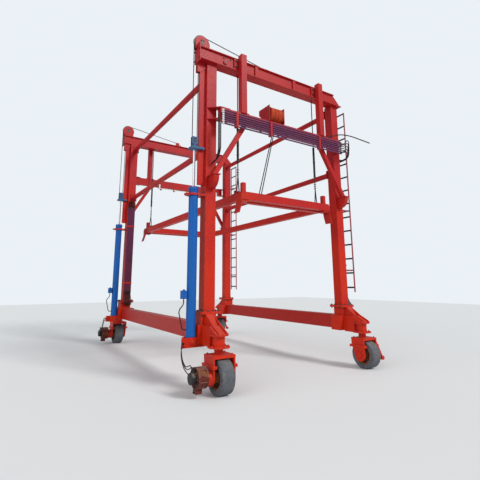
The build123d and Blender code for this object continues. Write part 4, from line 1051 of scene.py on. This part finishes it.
def pedestalGussets():
    look = gusset
    work = bmesh.new()
    for sx, sy, s in product(both, repeat=3):
        x = sx * kingpinX + s * look["out"]
        faces = (x - look["thick"] / 2, x + look["thick"] / 2)
        ends = [[work.verts.new((face, sy * y, z)) for y, z in look["outline"]] for face in faces]
        work.faces.new(ends[0])
        work.faces.new(list(reversed(ends[1])))
        for i in range(len(look["outline"])):
            k = (i + 1) % len(look["outline"])
            work.faces.new((ends[0][i], ends[1][i], ends[1][k], ends[0][k]))
    bmesh.ops.triangulate(work, faces=[f for f in work.faces if len(f.verts) > 4])
    bmesh.ops.recalc_face_normals(work, faces=work.faces)
    makePiece("pedestal_gussets", work, "gantry", "redEnamel")


def gussetWelds():
    look = gusset
    work = bmesh.new()
    for sx, sy in quarters:
        for s, t in quarters:
            x = sx * kingpinX + s * look["out"] + t * look["thick"] / 2
            for (y0, z0), (y1, z1) in zip(look["weld"], look["weld"][1:]):
                addBead(work, (x, sy * y0, z0), (x, sy * y1, z1), look["weldBead"])
        for a in both:  # seams up the neck's corners
            x, y = sx * kingpinX + a * look["seamHalf"], sy * look["seamY"]
            low, high = look["seamZ"]
            addBead(work, (x, y, low), (x, y, high), look["seamBead"])
    makePiece("gusset_welds", work, "gantry", "redEnamel", True)


pedestalGussets()
gussetWelds()
print("gussets placed")

# bolts and keepers of the saddles, housings and sheave blocks

baseRows = {
    "footPins": onFaces(addRound, hoistX, ropeY, 0.105, 0.800, (0.036, 0.008, 28)),
    "footPinBolts": onFaces(addBolt, hoistX, ropeY, 0.109, 0.800, (0.022, 0.012)),
    "lids": row(addRound, (-kingpinX, kingpinX), kingpinY, 0.969, up, (0.075, 0.024, 36)),
}
# rings of bolts on the housing's flanges, each only as far round as its flange is free
flanges = {"bolts": 10, "rings": (
    {"radius": 0.170, "z": 0.760, "past": -0.35, "bolt": (0.024, 0.014)},
    {"radius": 0.148, "z": 0.957, "past": 0.2, "bolt": (0.022, 0.012)})}


def baseBolts():
    work = bmesh.new()
    addRows(work, baseRows)
    for (sx, sy), ring in product(quarters, flanges["rings"]):
        for dx, dy in circle(flanges["bolts"], ring["radius"], 0.5):
            if dy * sy > ring["past"] * ring["radius"]:
                seat = (sx * kingpinX + dx, sy * kingpinY + dy, ring["z"])
                addBolt(work, seat, up, *ring["bolt"])
    makePiece("base_bolts", work, "gantry", "redEnamel")


cylinderRows = {
    "footCollars": row(addRound, hoistX, ropeY, 0.905, up, (0.0945, 0.030, 56)),
    "headCollars": row(addRound, hoistX, ropeY, 3.575, up, (0.0955, 0.030, 56)),
    "glandBolts": row(addBolt, hoistX, ropeY, 3.650, up, (0.022, 0.014), (8, 0.078, 0.5)),
    "valveSpools": row(addRound, -2.294, spread([ropeY], 0.050), (1.58, 1.66), outwards, (0.016, 0.012, 20)),
    "valvePorts": row(addRound, -2.294, ropeY, 1.705, up, (0.022, 0.022, 6)),
}
blockRows = {
    "pins": onFaces(addRound, hoistX, ropeY, 0.041, 4.625, (0.026, 0.010, 26)),
    "keepers": onFaces(addSlab, hoistX, ropeY, 0.042, 4.663, (0.052, 0.010, 0.020)),
    "sideBolts": onFaces(addBolt, spread([hoistX], 0.045), ropeY, 0.036, 4.54, (0.018, 0.010)),
    "topBolts": row(addBolt, spread([hoistX], 0.070), spread([ropeY], 0.070), 4.485, up, (0.022, 0.012)),
}
baseBolts()
makeRows("cylinder_parts", cylinderRows, "gantry", "blueEnamel", "cylinder_paint")
for portal, sy in portals.items():
    makeRows(f"block_keepers_{portal}", blockRows, f"lift_rod_{portal}", "darkBolt", "sheave_steel", (sy,))
print("base and blocks dressed")

# spreader: weld seams, sling clamps, bolts and rope clips

spreaderLook = {
    "blockX": 1.1295, "blockY": 2.9265, "blockZ": 3.642, "blockHalf": 0.0425, "bead": 0.005,
    "seamX": 1.099, "seamY": (2.909, 2.767, 2.647), "seamZ": (3.485, 3.636),
}


def spreaderWelds():
    look = spreaderLook
    work = bmesh.new()
    half = look["blockHalf"]
    for sy, sx in quarters:
        squareBeads(work, sx * look["blockX"], sy * look["blockY"], look["blockZ"], half, half, look["bead"])
        x, (low, high) = sx * look["seamX"], look["seamZ"]
        for y in look["seamY"]:
            addBead(work, (x, sy * y, low), (x, sy * y, high), look["bead"])
    makePiece("spreader_welds", work, "spreader", "redEnamel", True)


clipZ = (4.075, 4.13, 4.185)
slingRows = {
    "socketClamps": row(addRound, slingX, ropeY, (4.375, 4.52, 4.74, 4.96, 5.10), up, (0.0295, 0.018, 24)),
    "bolts": onSides(addBolt, slingX, 0.070, ropeY, 3.70, (0.034, 0.018)),
    "ropeClips": row(addSlab, slingX, ropeY - 0.013, clipZ, up, (0.040, 0.020, 0.020)),
    "clipRods": row(addRound, spread([slingX], 0.014), ropeY + 0.004, clipZ, outwards, (0.004, 0.050, 8)),
}
spreaderWelds()
makeRows("sling_parts", slingRows, "spreader", "sheaveIron", "wire_rope", both, both)
print("spreader dressed")

# finish

print("stages done")
